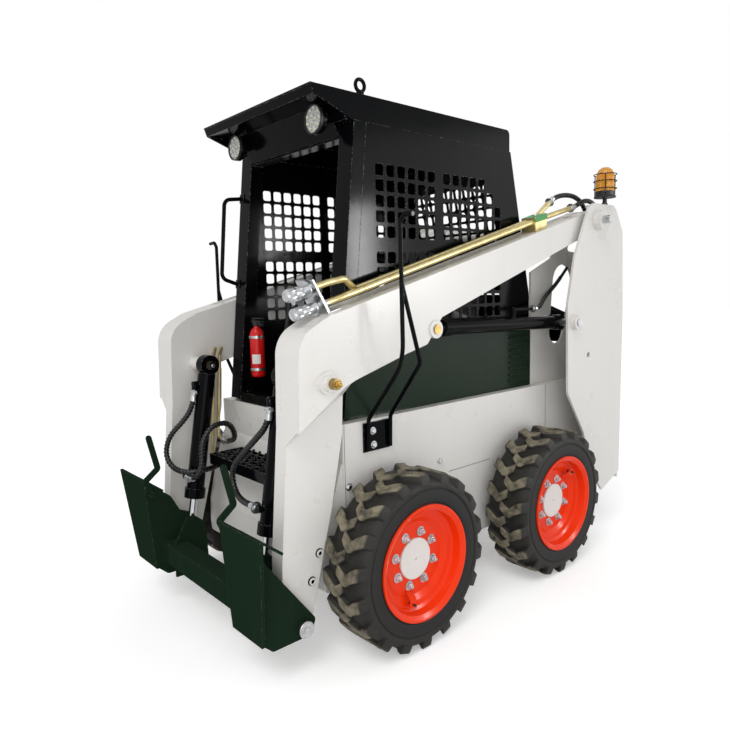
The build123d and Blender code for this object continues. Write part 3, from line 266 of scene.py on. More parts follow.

# %% [markdown]
# ## Painted steel
#
# Most of the machine is sheet and plate steel under sprayed two-part enamel. Such paint shows three
# things: the fine waves of orange peel a few millimetres wide, a slow change of tone where dust lies
# and water has run, and edges that the spray rounds and that knocks lay bare. On the black enamel the
# pale edge colour is also a painted highlight, the gloss line that its edges catch. The edge is found
# by comparing the surface with one whose corners are rounded by a few millimetres, so that it follows
# every plate of the solid without any painting by hand.

# %% A recipe for sprayed enamel
def enamel(name, colour, edge_wear_and_highlight_colour, dust_colour, roughness, gloss_level, dust_level, edge_mm=2.5):
    """Sprayed enamel on steel: orange peel, slow stains, dust on upward faces and edges knocked bare; a
    pale edge colour is also a painted edge highlight.
    """
    material, tree, shader, place = new_material(name)
    stains = noise(tree, place, 3.0, 5.0, 0.6)
    specks = noise(tree, place, 140.0, 4.0)
    stretched = add_node(tree, "ShaderNodeMapping", {"Scale": (24.0, 24.0, 1.6)}, {"Vector": place})
    runs = noise(tree, stretched.outputs[0], 1.0, 4.0)
    rounded = add_node(tree, "ShaderNodeBevel", {"Radius": edge_mm / 1000, "samples": 4})
    facing = add_node(tree, "ShaderNodeNewGeometry")
    match = add_node(
        tree, "ShaderNodeVectorMath", {"operation": "DOT_PRODUCT"},
        {0: rounded.outputs["Normal"], 1: facing.outputs["Normal"]},
    )
    edge = remap(tree, match.outputs["Value"], 0.985, 0.9)
    chipped = remap(tree, specks, 0.52, 0.62)
    # Edges knocked bare at chips; with a pale edge colour, as on the black enamel, this is also a
    # painted highlight along the edges.
    edge_wear_and_highlight = calculate(tree, "MULTIPLY", edge, chipped)
    upward = add_node(tree, "ShaderNodeSeparateXYZ", {}, {"Vector": facing.outputs["Normal"]})
    settled = remap(tree, upward.outputs["Z"], 0.2, 1.0, 0.0, dust_level)
    streaked = remap(tree, runs, 0.5, 0.75, 0.0, dust_level * 0.6)
    dusty = calculate(tree, "ADD", settled, streaked)
    patchy = calculate(tree, "MULTIPLY", dusty, stains)
    base = blend(tree, patchy, colour, dust_colour)
    skin = blend(tree, edge_wear_and_highlight, base, edge_wear_and_highlight_colour)
    tree.links.new(skin, shader.inputs["Base Color"])
    gloss = remap(tree, stains, 0.3, 0.7, roughness * 0.8, roughness * 1.3)
    tree.links.new(gloss, shader.inputs["Roughness"])
    peel = noise(tree, place, 320.0, 2.0)
    raise_surface(tree, shader, peel, 0.12, 0.0004, rounded.outputs["Normal"])
    set_shader(shader, {"IOR": 1.5, "Specular IOR Level": gloss_level})
    return material


white_enamel = enamel("white_enamel", "dcdad6", "8f8d88", "c4bfb4", 0.3, 0.5, 0.35)
# The black enamel's pale edge colour a2a3a5 is partly bare steel at chips and partly a painted
# highlight, the gloss line along its edges.
black_enamel = enamel("black_enamel", "060709", "a2a3a5", "33322f", 0.12, 0.07, 0.1)
green_black_enamel = enamel("green_black_enamel", "1b2a1e", "6c746e", "39413c", 0.3, 0.0, 0.2)
cover_enamel = enamel("cover_enamel", "1b2a1e", "6c746e", "39413c", 0.2, 0.1, 0.2)
orange_enamel = enamel("orange_enamel", "ea3404", "a8502f", "c07a55", 0.24, 0.2, 0.12)
red_enamel = enamel("red_enamel", "d01616", "8a3a34", "a05048", 0.22, 0.35, 0.15)
print(
    "enamels made:", white_enamel.name, black_enamel.name, green_black_enamel.name, orange_enamel.name,
)

# %% [markdown]
# ## Metals
#
# Pins and couplers are turned steel with a bright zinc plate, the auxiliary pipes are drawn steel
# with a yellow chromate over the zinc, and the cylinder rods are ground and hard chromed. The tool
# marks run round the turned pieces, far too fine to show, so they are drawn a little coarser.

# %% A recipe for plated steel
def plated(name, colour, tint, roughness, scratch_scale):
    """Plated steel with a change of tint between patches and fine marks in its roughness."""
    material, tree, shader, place = new_material(name)
    shift = remap(tree, noise(tree, place, 35.0, 4.0), 0.35, 0.65)
    tree.links.new(blend(tree, shift, colour, tint), shader.inputs["Base Color"])
    marks = noise(tree, place, scratch_scale, 6.0)
    rough = remap(tree, marks, to_low=roughness * 0.6, to_high=roughness * 1.5)
    tree.links.new(rough, shader.inputs["Roughness"])
    raise_surface(tree, shader, marks, 0.15, 0.0003)
    set_shader(shader, {"Metallic": 1.0})
    return material


bright_zinc = plated("bright_zinc", "d2d4d5", "b4b6b8", 0.28, 400.0)
gold_chromate = plated("gold_chromate", "b89a5c", "8d7a52", 0.38, 300.0)
yellow_zinc = plated("yellow_zinc", "e6d6a0", "cdbb84", 0.36, 260.0)
hard_chrome = plated("hard_chrome", "d9dbdd", "cfd2d5", 0.12, 700.0)
cast_iron = plated("cast_iron", "4c4c4b", "393a3a", 0.6, 180.0)
print("metals made:", bright_zinc.name, yellow_zinc.name, hard_chrome.name)

# %% [markdown]
# ## Tyre rubber
#
# The tyres are vulcanised natural and synthetic rubber with carbon black: very dark, dull, and grey
# where they have aged. The lugs' tops have rolled over dry ground, so they carry an olive-beige dust
# that thins out towards the carcass. How far a point stands from the wheel's axis tells the lug tops
# from the carcass. One material serves all four, so the distance is folded about the middle between
# the two axles.

# %% Make the rubber of the tyres
tyre_radius = 0.343
axle_height = tyre_radius
rear_axle_x = sum(corner.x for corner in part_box("tyre_rear_left")) / 2
axle_middle_x = (front_axle_x + rear_axle_x) / 2
axle_half_distance = (front_axle_x - rear_axle_x) / 2

tyre_rubber, tree, shader, place = new_material("dusty_tyre_rubber")
spot = add_node(tree, "ShaderNodeSeparateXYZ", {}, {"Vector": place})
folded = calculate(tree, "ABSOLUTE", calculate(tree, "SUBTRACT", spot.outputs["X"], axle_middle_x))
across = calculate(tree, "SUBTRACT", folded, axle_half_distance)
above = calculate(tree, "SUBTRACT", spot.outputs["Z"], axle_height)
radial = add_node(tree, "ShaderNodeCombineXYZ", {}, {"X": across, "Y": above})
reach = add_node(tree, "ShaderNodeVectorMath", {"operation": "LENGTH"}, {0: radial.outputs[0]})
lug_tops = remap(tree, reach.outputs["Value"], 0.3345, 0.3405)
carcass = remap(tree, reach.outputs["Value"], 0.25, 0.322)
clouds = noise(tree, place, 22.0, 6.0, 0.65)
cloud_range = remap(tree, clouds, 0.32, 0.62)
film = calculate(tree, "MULTIPLY", calculate(tree, "MULTIPLY", carcass, 0.35), clouds)
tops = calculate(tree, "MULTIPLY", lug_tops, cloud_range)
rubber = blend(tree, film, "131313", "4c493f")
tree.links.new(blend(tree, tops, rubber, "857d69"), shader.inputs["Base Color"])
set_shader(shader, {"Roughness": 0.6, "Specular IOR Level": 0.3, "IOR": 1.52})
pores = noise(tree, place, 420.0, 3.0)
soft_corner = add_node(tree, "ShaderNodeBevel", {"Radius": 0.004, "samples": 4})
raise_surface(tree, shader, pores, 0.35, 0.0006, soft_corner.outputs["Normal"])
print("tyre rubber made, axles", round(front_axle_x, 3), round(rear_axle_x, 3))

# %% [markdown]
# ## Hoses, plastics and seat vinyl
#
# The hydraulic hoses are nitrile rubber. The cloth wrap in which they were cured leaves a fine thread
# on their skin, drawn from the curve's own coordinates: the first runs along the hose, the second
# round it, and their sum climbs as a screw does. The guard wound over them is black polypropylene.
# Grips and the beacon's foot are glass-filled nylon with a fine moulded grain, and the seat cover is
# black vinyl with a leather-like emboss.

# %% Make the hose, plastic and vinyl materials
hose_guard, tree, shader, place = new_material("spiral_guarded_hose")
along_hose = add_node(tree, "ShaderNodeTexCoord").outputs["UV"]
coordinate = add_node(tree, "ShaderNodeSeparateXYZ", {}, {"Vector": along_hose})
wrap_turns = 62.0
climb = calculate(
    tree, "MULTIPLY_ADD", coordinate.outputs["X"], wrap_turns, coordinate.outputs["Y"],
)
thread = calculate(tree, "PINGPONG", calculate(tree, "FRACT", climb), 0.5)
tree.links.new(blend(tree, thread, "050506", "060607"), shader.inputs["Base Color"])
set_shader(shader, {"Roughness": 0.3})
raise_surface(tree, shader, thread, 0.8, 0.002)


def moulded(name, colour, lighter, roughness, grain_scale, depth_mm):
    """Moulded or calendered plastic with a grain, a little uneven in tone."""
    material, tree, shader, place = new_material(name)
    cells = add_node(tree, "ShaderNodeTexVoronoi", {"Scale": grain_scale}, {"Vector": place})
    uneven = noise(tree, place, 9.0, 4.0)
    tree.links.new(blend(tree, uneven, colour, lighter), shader.inputs["Base Color"])
    rough = remap(tree, uneven, to_low=roughness * 0.85, to_high=roughness * 1.2)
    tree.links.new(rough, shader.inputs["Roughness"])
    raise_surface(tree, shader, cells.outputs["Distance"], 0.4, depth_mm / 1000)
    set_shader(shader, {"IOR": 1.5})
    return material


black_nylon = moulded("black_nylon", "151516", "232324", 0.5, 900.0, 0.2)
seat_vinyl = moulded("seat_vinyl", "17171a", "28282b", 0.45, 380.0, 0.4)
guard_plastic = moulded("guard_plastic", "101011", "1b1b1c", 0.22, 500.0, 0.05)
green_nylon = moulded("green_nylon", "1f8a3a", "2a9a48", 0.4, 700.0, 0.2)
print("soft and plastic materials made:", hose_guard.name, black_nylon.name, seat_vinyl.name)

# %% [markdown]
# ## Dress the solids
#
# Solids whose shape is already right keep it, and only take a finish. The finish is set on the
# object's own material slots, so the mesh itself stays as it came.

# %% Give each solid its finish
finish_of = {
    "chassis": white_enamel, "towers": white_enamel, "lift_arms": white_enamel,
    "cab_frame": black_enamel, "cab_sides": black_enamel, "cab_roof": black_enamel,
    "cab_rear": black_enamel, "engine_hood": black_enamel, "tailgate": black_enamel,
    "axle_hubs": black_enamel, "guard_rods": black_enamel, "grab_handle": black_enamel,
    "front_step": black_enamel, "lift_barrels": black_enamel, "tilt_barrels": black_enamel,
    "carriage": green_black_enamel, "side_covers": cover_enamel, "control_levers": black_nylon,
    "engine_block": cast_iron, "lift_rods": hard_chrome, "tilt_rods": hard_chrome,
    "tower_pins": bright_zinc, "arm_pins": gold_chromate, "hitch_pins": bright_zinc,
    "arm_pipes": yellow_zinc, "quick_couplers": bright_zinc,
}
wheel_names = ("front_left", "front_right", "rear_left", "rear_right")
for wheel in wheel_names:
    finish_of[f"rim_{wheel}"] = orange_enamel
    finish_of[f"hub_cap_{wheel}"] = white_enamel


def dress(piece, material):
    """Sets a finish on every material slot of a solid, on the object and not on its mesh."""
    for material_slot in piece.material_slots:
        material_slot.link = "OBJECT"
        material_slot.material = material


for node, material in finish_of.items():
    dress(parts[node], material)
print("solids dressed:", len(finish_of), "left for pieces:", sorted(set(parts) - set(finish_of)))

# %% [markdown]
# ## Hydraulic hoses
#
# Each hose is one smooth curve with a round section. Its control points repeat the route of the
# solid's tube, in millimetres ahead of the front axle, across and up, so that it leaves and meets the
# same fittings. A spline of order three through such points bends as a stiff hose does, without a
# kink. Order and end points are set after the points, because a spline starts with none.

# %% Draw the hoses along their routes
def spot_at(ahead_mm, across_mm, height_mm):
    """Place in metres of a point given in millimetres ahead of the front axle, across and up."""
    return Vector((front_axle_x + ahead_mm / 1000, across_mm / 1000, height_mm / 1000))


tilt_pin = Vector((343.0, 0.0, 1050.0))  # of the tilt cylinder in the arm, in millimetres
barrel_way = Vector((117.0, 0.0, -696.0)).normalized()
top_stub = tilt_pin + barrel_way * 79.0 + Vector((52.0, 0.0, 0.0))
hose_start = top_stub + barrel_way * 26.3
hose_turn = top_stub + barrel_way * 92.0
low_stub = tilt_pin + barrel_way * 483.0 + Vector((50.0, 0.0, 0.0))
hose_routes = {  # node, body, thickness and length in millimetres, route
    "hose_long": ("tilt_hoses", "tilt_barrels", 20.0, 738.0, [
        (hose_start.x, 302, hose_start.z), (hose_turn.x, 302, hose_turn.z), (428, 206, 806),
        (429, 120, 742), (430, 34, 672), (430, 28, 610), (435, 70, 565), (452, 140, 562),
        (low_stub.x, 218, low_stub.z), (low_stub.x, 286.7, low_stub.z),
    ]),
    "hose_outer": ("tilt_hoses", "tilt_barrels", 20.0, 738.0, [
        (hose_start.x, -302, hose_start.z), (hose_turn.x, -302, hose_turn.z), (452, -326, 818),
        (512, -362, 752), (530, -378, 672), (522, -340, 616), (500, -270, 600), (440, -232, 602),
        (372, -246, 600), (290, -284, 606), (290, -351.7, 606),
    ]),
    "hose_arched": ("tilt_hoses", "tilt_barrels", 20.0, 596.0, [
        (low_stub.x, -286.7, low_stub.z), (low_stub.x, -216, low_stub.z), (448, -196, 630),
        (440, -208, 692), (428, -214, 742), (384, -214, 796), (302, -214, 800), (262, -228, 732),
        (256, -276, 690), (256, -351.7, 690),
    ]),
    "hose_slot_left": ("barrel_hoses", "lift_barrels", 16.0, 496.0, [
        (-1394, 412, 1454), (-1300, 412, 1372), (-1190, 416, 1312), (-1090, 455.5, 1272),
        (-1020, 485.5, 1254), (-964.3, 485.5, 1254),
    ]),
    "hose_slot_right": ("barrel_hoses", "lift_barrels", 16.0, 496.0, [
        (-1394, -412, 1454), (-1300, -412, 1372), (-1190, -416, 1312), (-1090, -455.5, 1272),
        (-1020, -485.5, 1254), (-964.3, -485.5, 1254),
    ]),
    "hose_tower_low": ("arm_hoses", "lift_arms", 20.0, 366.0, [
        (-1287.3, 485, 1746), (-1345, 485, 1760.7), (-1420, 485, 1795), (-1500, 485, 1798),
        (-1566, 485, 1756), (-1592, 485, 1690),
    ]),
    "hose_tower_high": ("arm_hoses", "lift_arms", 20.0, 426.0, [
        (-1151.3, 451, 1765), (-1200, 451, 1798.2), (-1300, 451, 1820), (-1400, 451, 1818),
        (-1479, 451, 1784), (-1528, 451, 1718),
    ]),
}
for name, (node, body, thickness, length, route) in hose_routes.items():
    curve = bpy.data.curves.new(name, "CURVE")
    curve.dimensions = "3D"
    curve.bevel_depth = thickness / 2000
    curve.bevel_resolution = 5
    curve.resolution_u = 10
    curve.use_fill_caps = True
    spline = curve.splines.new("NURBS")
    spline.points.add(len(route) - 1)
    for point, place_mm in zip(spline.points, route):
        point.co = (*spot_at(*place_mm), 1.0)
    spline.order_u = 3
    spline.use_endpoint_u = True
    curve.materials.append(hose_guard)
    piece = bpy.data.objects.new(name, curve)
    bpy.context.scene.collection.objects.link(piece)
    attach(piece, body)
    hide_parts(node)
print("hoses drawn:", len(hose_routes))

# %% [markdown]
# ## Lathe and block helpers
#
# Turned and moulded trim is made in two ways. A lathe spins a short list of distances and radii
# about an axis, which suits domes, bezels and nuts. A block starts from a box and rounds its
# edges with a bevel, which suits sheet boxes and clamps, whose corners always catch the light.

# %% Helpers that turn and round small pieces
import bmesh
from math import pi


def finish_piece(name, form, material, body, smooth=True):
    """Puts a bmesh in the scene as a piece with its finish and the body that carries it."""
    mesh = bpy.data.meshes.new(name)
    bmesh.ops.recalc_face_normals(form, faces=form.faces)
    form.to_mesh(mesh)
    form.free()
    mesh.materials.append(material)
    for polygon in mesh.polygons:
        polygon.use_smooth = smooth
    piece = bpy.data.objects.new(name, mesh)
    bpy.context.scene.collection.objects.link(piece)
    if smooth:
        crease = piece.modifiers.new("sharp_edges", "EDGE_SPLIT")
        crease.split_angle = radians(35)
    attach(piece, body)
    return piece


def turn_on_lathe(form, centre, axis, rows, segments=32):
    """Adds a turned form; rows are (distance along the axis, radius), in metres."""
    facing = Vector(axis).normalized()
    side = facing.orthogonal().normalized()
    other = facing.cross(side)
    rings = []
    for distance, radius in rows:
        middle = Vector(centre) + facing * distance
        if radius < 1e-6:
            rings.append([form.verts.new(middle)])
            continue
        ring = []
        for step in range(segments):
            angle = 2 * pi * step / segments
            ring.append(form.verts.new(middle + (side * cos(angle) + other * sin(angle)) * radius))
        rings.append(ring)
    for low, high in zip(rings, rings[1:]):
        for step in range(segments):
            after = (step + 1) % segments
            corners = [
                low[step % len(low)], low[after % len(low)], high[after % len(high)],
                high[step % len(high)],
            ]
            unique = list(dict.fromkeys(corners))
            if len(unique) > 2:
                form.faces.new(unique)
    for end in (rings[0], rings[-1]):
        if len(end) > 2:
            form.faces.new(end)


def round_block(form, low, high, rounding, segments=3):
    """Adds a box between two corners, in metres, with rounded edges."""
    made = bmesh.ops.create_cube(form, size=1.0)["verts"]
    centre = (Vector(low) + Vector(high)) / 2
    size = Vector(high) - Vector(low)
    for vertex in made:
        vertex.co = centre + Vector((vertex.co.x * size.x, vertex.co.y * size.y, vertex.co.z * size.z))
    edges = list({edge for vertex in made for edge in vertex.link_edges})
    bmesh.ops.bevel(form, geom=edges, offset=rounding, segments=segments, affect="EDGES", profile=0.5)


def hex_bolt(form, place, axis, across_flats, head):
    """Adds a hexagon head with its chamfer on a washer, in metres."""
    radius = across_flats / 2 / cos(pi / 6)
    turn_on_lathe(
        form, place, axis,
        [(0, across_flats * 0.78), (head * 0.18, across_flats * 0.78), (head * 0.2, radius)], 24,
    )
    turn_on_lathe(
        form, place, axis,
        [(head * 0.15, radius), (head * 0.88, radius), (head, radius * 0.86), (head, 0)], 6,
    )


print("helpers ready")

# %% [markdown]
# ## Wheel bolts, hub bolts and valves
#
# Eight zinc plated bolts hold each rim to its hub, on a circle of 208 mm, and a short bent tab guards
# the tyre valve. They are too small to matter for contact, so they are made here. The angles start
# from the front of the wheel and turn upwards.

# %% Bolt the wheels on
wheel_centre_y = 0.584
disc_y = wheel_centre_y + 0.038
bolt_circle = 0.104
bolt_angles = (15, 62, 109, 151, 197, 243, 288, 332)
valve_rows = [
    (0, 0.006), (0.01, 0.0055), (0.012, 0.004), (0.024, 0.004), (0.025, 0.005), (0.033, 0.005),
    (0.034, 0),
]
for wheel in wheel_names:
    side = 1 if wheel.endswith("left") else -1
    wheel_x = front_axle_x if wheel.startswith("front") else rear_axle_x
    form = bmesh.new()
    for degrees_up in bolt_angles:
        angle = radians(degrees_up)
        place_on_disc = (
            wheel_x + bolt_circle * cos(angle), side * disc_y, axle_height + bolt_circle * sin(angle),
        )
        hex_bolt(form, place_on_disc, (0, side, 0), 0.024, 0.013)
        turn_on_lathe(
            form, place_on_disc, (0, side, 0),
            [(0.0, 0.008), (0.019, 0.008), (0.021, 0.0065), (0.021, 0)], 16,
        )
    finish_piece(f"wheel_bolts_{wheel}", form, bright_zinc, f"wheel_{wheel}")
    guard_angle = radians(-74 if wheel.startswith("front") else 132)
    outward = Vector((cos(guard_angle), 0, sin(guard_angle)))
    sideways = Vector((-sin(guard_angle), 0, cos(guard_angle)))
    middle = Vector((wheel_x, side * disc_y, axle_height))
    form = bmesh.new()
    stem = middle + outward * 0.164 + Vector((0, side * 0.016, 0))
    turn_on_lathe(form, stem, (0, side, 0), valve_rows, 16)
    finish_piece(f"tyre_valve_{wheel}", form, black_nylon, f"wheel_{wheel}")
    form = bmesh.new()
    tab = [
        (0.128, 0.002), (0.150, 0.030), (0.176, 0.034), (0.176, 0.038), (0.148, 0.034), (0.124, 0.003),
    ]
    tab_places = [middle + outward * reach + Vector((0, side * height, 0)) for reach, height in tab]
    rows = [
        [form.verts.new(tab_place + sideways * offset) for tab_place in tab_places]
        for offset in (-0.017, 0.017)
    ]
    form.faces.new(rows[0])
    form.faces.new(rows[1])
    for step in range(len(tab)):
        after = (step + 1) % len(tab)
        form.faces.new((rows[0][step], rows[0][after], rows[1][after], rows[1][step]))
    finish_piece(
        f"valve_guard_{wheel}", form, orange_enamel, f"wheel_{wheel}", smooth=False,
    )
print("bolts on each wheel:", len(bolt_angles))

# %% [markdown]
# ## Tyre treads
#
# A skid steer tyre has deep slanted bars that meet the shoulder square and bend back near the middle
# of the tread, set in turn from both sides. Moulded rubber needs draft, so each bar is wider at its
# foot than at its top, and its top edges are rounded over. The sidewall carries a guard ring just
# below the bars and shallow steps down to the bead. The carcass is turned on a lathe, and each bar is
# a strip of cross-sections laid from its tip over the shoulder and bent round the tyre.

# %% Mould the tyres
bars_each_side = 18
tread_segments = 144
carcass_half = [
    (0.0977, 0.2043), (0.0977, 0.2275), (0.1000, 0.2290), (0.1014, 0.2330), (0.1022, 0.2460),
    (0.1027, 0.2620), (0.1027, 0.2740), (0.0992, 0.2770), (0.0992, 0.2805), (0.1038, 0.2840),
    (0.1045, 0.2890), (0.1041, 0.2965), (0.1018, 0.3015), (0.0960, 0.3070), (0.0880, 0.3150),
    (0.0560, 0.3215), (0.0200, 0.3230),
]
# Across, radius at the top, round the tyre, half width; then across and radius at the foot
bar_sections = [
    (-0.014, 0.3428, 0.012, 0.0200, -0.020, 0.3180), (0.002, 0.3430, 0.0255, 0.0210, 0.002, 0.3180),
    (0.024, 0.3430, 0.0405, 0.0220, 0.024, 0.3180), (0.038, 0.3430, 0.0385, 0.0225, 0.038, 0.3180),
    (0.058, 0.3430, 0.0210, 0.0235, 0.058, 0.3170), (0.084, 0.3422, 0.0070, 0.0245, 0.082, 0.3120),
    (0.0955, 0.3370, 0.0020, 0.0245, 0.0900, 0.3060), (0.1010, 0.3220, 0.0000, 0.0250, 0.0930, 0.3020),
    (0.1036, 0.3080, 0.0000, 0.0255, 0.0960, 0.2990), (0.1041, 0.2975, 0.0000, 0.0255, 0.0980, 0.2950),
]
foot_draft = 0.0055
top_rounding = 0.0030


def round_the_wheel(centre, side, across, radius, arc_length):
    """Point on a wheel: outwards, from the axis, and along the tread forward from its top."""
    angle = arc_length / tyre_radius
    return Vector((
        centre.x + radius * sin(angle), centre.y + side * across, centre.z + radius * cos(angle),
    ))


def add_bar(form, centre, side, mirrored, start_arc):
    """One tread bar from its tip over the shoulder; a mirrored one stands on the inner side."""
    strips = []
    for across, radius, shift, half_width, foot_across, foot_radius in bar_sections:
        hand = -1 if mirrored else 1
        outline = [
            (foot_across, foot_radius, -half_width - foot_draft),
            (across, radius - top_rounding, -half_width),
            (across, radius, top_rounding - half_width), (across, radius, half_width - top_rounding),
            (across, radius - top_rounding, half_width),
            (foot_across, foot_radius, half_width + foot_draft),
        ]
        strips.append([
            form.verts.new(round_the_wheel(centre, side, hand * y, r, start_arc + shift + arc))
            for y, r, arc in outline
        ])
    for here, following in zip(strips, strips[1:]):
        for low, high in zip(range(5), range(1, 6)):
            form.faces.new((here[low], here[high], following[high], following[low]))
    form.faces.new(strips[0])
    form.faces.new(strips[-1])


for wheel in wheel_names:
    side = 1 if wheel.endswith("left") else -1
    wheel_x = front_axle_x if wheel.startswith("front") else rear_axle_x
    centre = Vector((wheel_x, side * wheel_centre_y, axle_height))
    form = bmesh.new()
    profile = carcass_half + [(-across, radius) for across, radius in reversed(carcass_half)]
    arcs = [tyre_radius * 2 * pi * step / tread_segments for step in range(tread_segments)]
    rings = [
        [form.verts.new(round_the_wheel(centre, side, across, radius, arc)) for arc in arcs]
        for across, radius in profile
    ]
    for low, high in zip(rings, rings[1:] + rings[:1]):
        for step in range(tread_segments):
            after = (step + 1) % tread_segments
            form.faces.new((low[step], low[after], high[after], high[step]))
    pitch = tyre_radius * 2 * pi / bars_each_side
    for bar in range(bars_each_side):
        add_bar(form, centre, side, False, bar * pitch)
        add_bar(form, centre, side, True, (bar + 0.5) * pitch)
    tyre = finish_piece(f"tread_{wheel}", form, tyre_rubber, f"wheel_{wheel}")
    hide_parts(f"tyre_{wheel}")
print("bars on a tyre:", 2 * bars_each_side, "faces:", len(tyre.data.polygons))

# %% [markdown]
# ## Nose box and frame bolts
#
# Below the step the front of the frame is a folded box that reaches forward beside the legs and hides
# the inner sides of the front wheels. It is one bent outline with a thickness, closed at both sides.
# Zinc plated flange bolts hold the frame's skin plates, and shallow seams show where they meet. A
# seam is drawn as a grey strip that stands a fraction of a millimetre proud, painted shade for the
# shadow in the joint.

# %% Fold the nose box
def prism(form, outline, across_low, across_high):
    """Adds a solid between two distances across, from its outline (ahead, height) in millimetres."""
    low, high = [
        [form.verts.new(spot_at(ahead_mm, across_mm, height_mm)) for ahead_mm, height_mm in outline]
        for across_mm in (across_low, across_high)
    ]
    form.faces.new(low)
    form.faces.new(high)
    for step in range(len(outline)):
        after = (step + 1) % len(outline)
        form.faces.new((low[step], low[after], high[after], high[step]))


nose_outline = [
    (196.5, 716), (203, 712), (240, 606), (264, 520), (291, 400), (296, 300), (292, 246), (284, 236),
    (66, 236), (196.5, 423),
]
form = bmesh.new()
prism(form, nose_outline, -446, 446)
finish_piece("nose_box", form, white_enamel, "frame", smooth=False)

bolt_places = [(-341, 622, 448), (171, 622, 448), (49, 820, 455), (46, 765, 455)]
form = bmesh.new()
for side in (1, -1):
    for ahead_mm, height_mm, across_mm in bolt_places:
        hex_bolt(
            form, spot_at(ahead_mm, side * (across_mm + 0.2), height_mm), (0, side, 0), 0.019, 0.010,
        )
finish_piece("frame_bolts", form, bright_zinc, "frame")

# The grey of the seams is painted shade, the shadow that lies in the joint between the skin plates.
painted_seam_shade = enamel("seam_shadow", "77756f", "8f8d88", "8a877f", 0.5, 0.2, 0.2)
form = bmesh.new()
for side in (1, -1):
    near, far = sorted((side * 447.5, side * 448.7))
    prism(form, [(-400, 561), (-400, 563.5), (-690, 563.5), (-690, 561)], near, far)
    prism(form, [(-1145, 560), (-1147.5, 560), (-1147.5, 864), (-1145, 864)], near, far)
    prism(form, [(186, 430), (188, 430), (188, 862), (186, 862)], near, far)
finish_piece("frame_seams", form, painted_seam_shade, "frame", smooth=False)
print("bolts on the frame:", 2 * len(bolt_places))

# %% [markdown]
# ## Pins, nipples and end caps
#
# Each arm pin ends in a brass grease nipple: a hexagon with a small ball on a neck. The tilt
# cylinders' eyes are closed by black caps with a bright screw, and the holes in the legs have welded
# rings. They ride on the arms, and the heads of the hitch pins ride on the carriage.

# %% Close the pins
brass = plated("lacquered_brass", "c7a45a", "a5823f", 0.3, 300.0)
form = bmesh.new()
for side in (1, -1):
    end = spot_at(tilt_pin.x, side * 614, tilt_pin.z)
    turn_on_lathe(
        form, end - Vector((0, side * 0.001, 0)), (0, side, 0),
        [(0, 0.0125), (0.006, 0.0125), (0.007, 0.011)], 6,
    )
    nipple_rows = [
        (0.006, 0.007), (0.012, 0.006), (0.014, 0.0045), (0.017, 0.0065), (0.020, 0.0065),
        (0.0225, 0.004), (0.023, 0),
    ]
    turn_on_lathe(form, end, (0, side, 0), nipple_rows, 20)
finish_piece("grease_nipples", form, brass, "lift_arms")

form = bmesh.new()
for side in (1, -1):
    inner_end = spot_at(tilt_pin.x, side * 257, tilt_pin.z)
    cap_rows = [(-0.0015, 0.0), (-0.0015, 0.018), (0.003, 0.0185), (0.005, 0.0165), (0.005, 0.0)]
    turn_on_lathe(form, inner_end, (0, -side, 0), cap_rows, 32)
    for place_mm in ((382, 330), (345, 425)):
        weld_rows = [
            (-0.001, 0.0142), (-0.001, 0.0175), (0.002, 0.0170), (0.004, 0.0150), (0.0045, 0.0142),
        ]
        turn_on_lathe(form, spot_at(place_mm[0], side * 482, place_mm[1]), (0, side, 0), weld_rows, 32)
finish_piece("pin_caps", form, black_enamel, "lift_arms")
form = bmesh.new()
for side in (1, -1):
    hex_bolt(form, spot_at(tilt_pin.x, side * 252.2, tilt_pin.z), (0, -side, 0), 0.013, 0.006)
finish_piece("cap_screws", form, bright_zinc, "lift_arms")

form = bmesh.new()
for side in (1, -1):
    hex_bolt(form, spot_at(447, side * 530.6, 192), (0, side, 0), 0.022, 0.012)
    turn_on_lathe(
        form, spot_at(447, side * 530.6, 192), (0, side, 0),
        [(0.0, 0.031), (0.004, 0.031), (0.0055, 0.029), (0.0055, 0.018)], 32,
    )
finish_piece("hitch_pin_heads", form, bright_zinc, "carriage")
print("pins closed")

# %% [markdown]
# ## Hose ends, couplers and clamps
#
# A hydraulic hose ends in a steel ferrule pressed on to it and a hexagon nut. Over its length a flat
# plastic band is wound as a guard, which follows the hose's own curve. Quick couplers are turned with
# a knurled sleeve that slides back, drawn here as a ring of small ribs, and a dust cap. A moulded
# clamp with one bolt holds the two pipes on the arm.

# %% Fit the ferrules and nuts
ferrule_rows = [
    (0.0, 0.0105), (0.001, 0.0130), (0.022, 0.0130), (0.024, 0.0118), (0.026, 0.0130), (0.034, 0.0130),
    (0.036, 0.0115), (0.050, 0.0115),
]
ferrule_length = ferrule_rows[-1][0]
for name, (node, body, thickness, length, route) in hose_routes.items():
    form = bmesh.new()
    size = thickness / 20.0
    ends = ((route[0], route[1]), (route[-1], route[-2]))
    if node == "barrel_hoses":
        ends = ends[1:]  # the rear ends lie close in the towers, which they pass as the arms rise
    for first, second in ends:
        end = spot_at(*first)
        inward = (spot_at(*second) - end).normalized()
        rows = [(distance * size, radius * size) for distance, radius in ferrule_rows]
        turn_on_lathe(form, end + inward * ferrule_length * size, -inward, rows, 24)
        hex_bolt(form, end + inward * 0.014 * size, -inward, 0.029 * size, 0.012 * size)
    finish_piece(f"ferrules_{name}", form, bright_zinc, body)
print("hoses with ends:", len(hose_routes))

# %% Wind the guards over the hoses
guard_pitch = 0.015
guard_depth = 0.0030
guard_sunk = 0.0004  # how far the band's edges lie in the hose
steps_a_turn = 14
# Shares of the pitch along the hose and of the depth out of it
band_section = [(-0.27, 0.0), (-0.21, 0.8), (0.0, 1.0), (0.21, 0.8), (0.27, 0.0)]


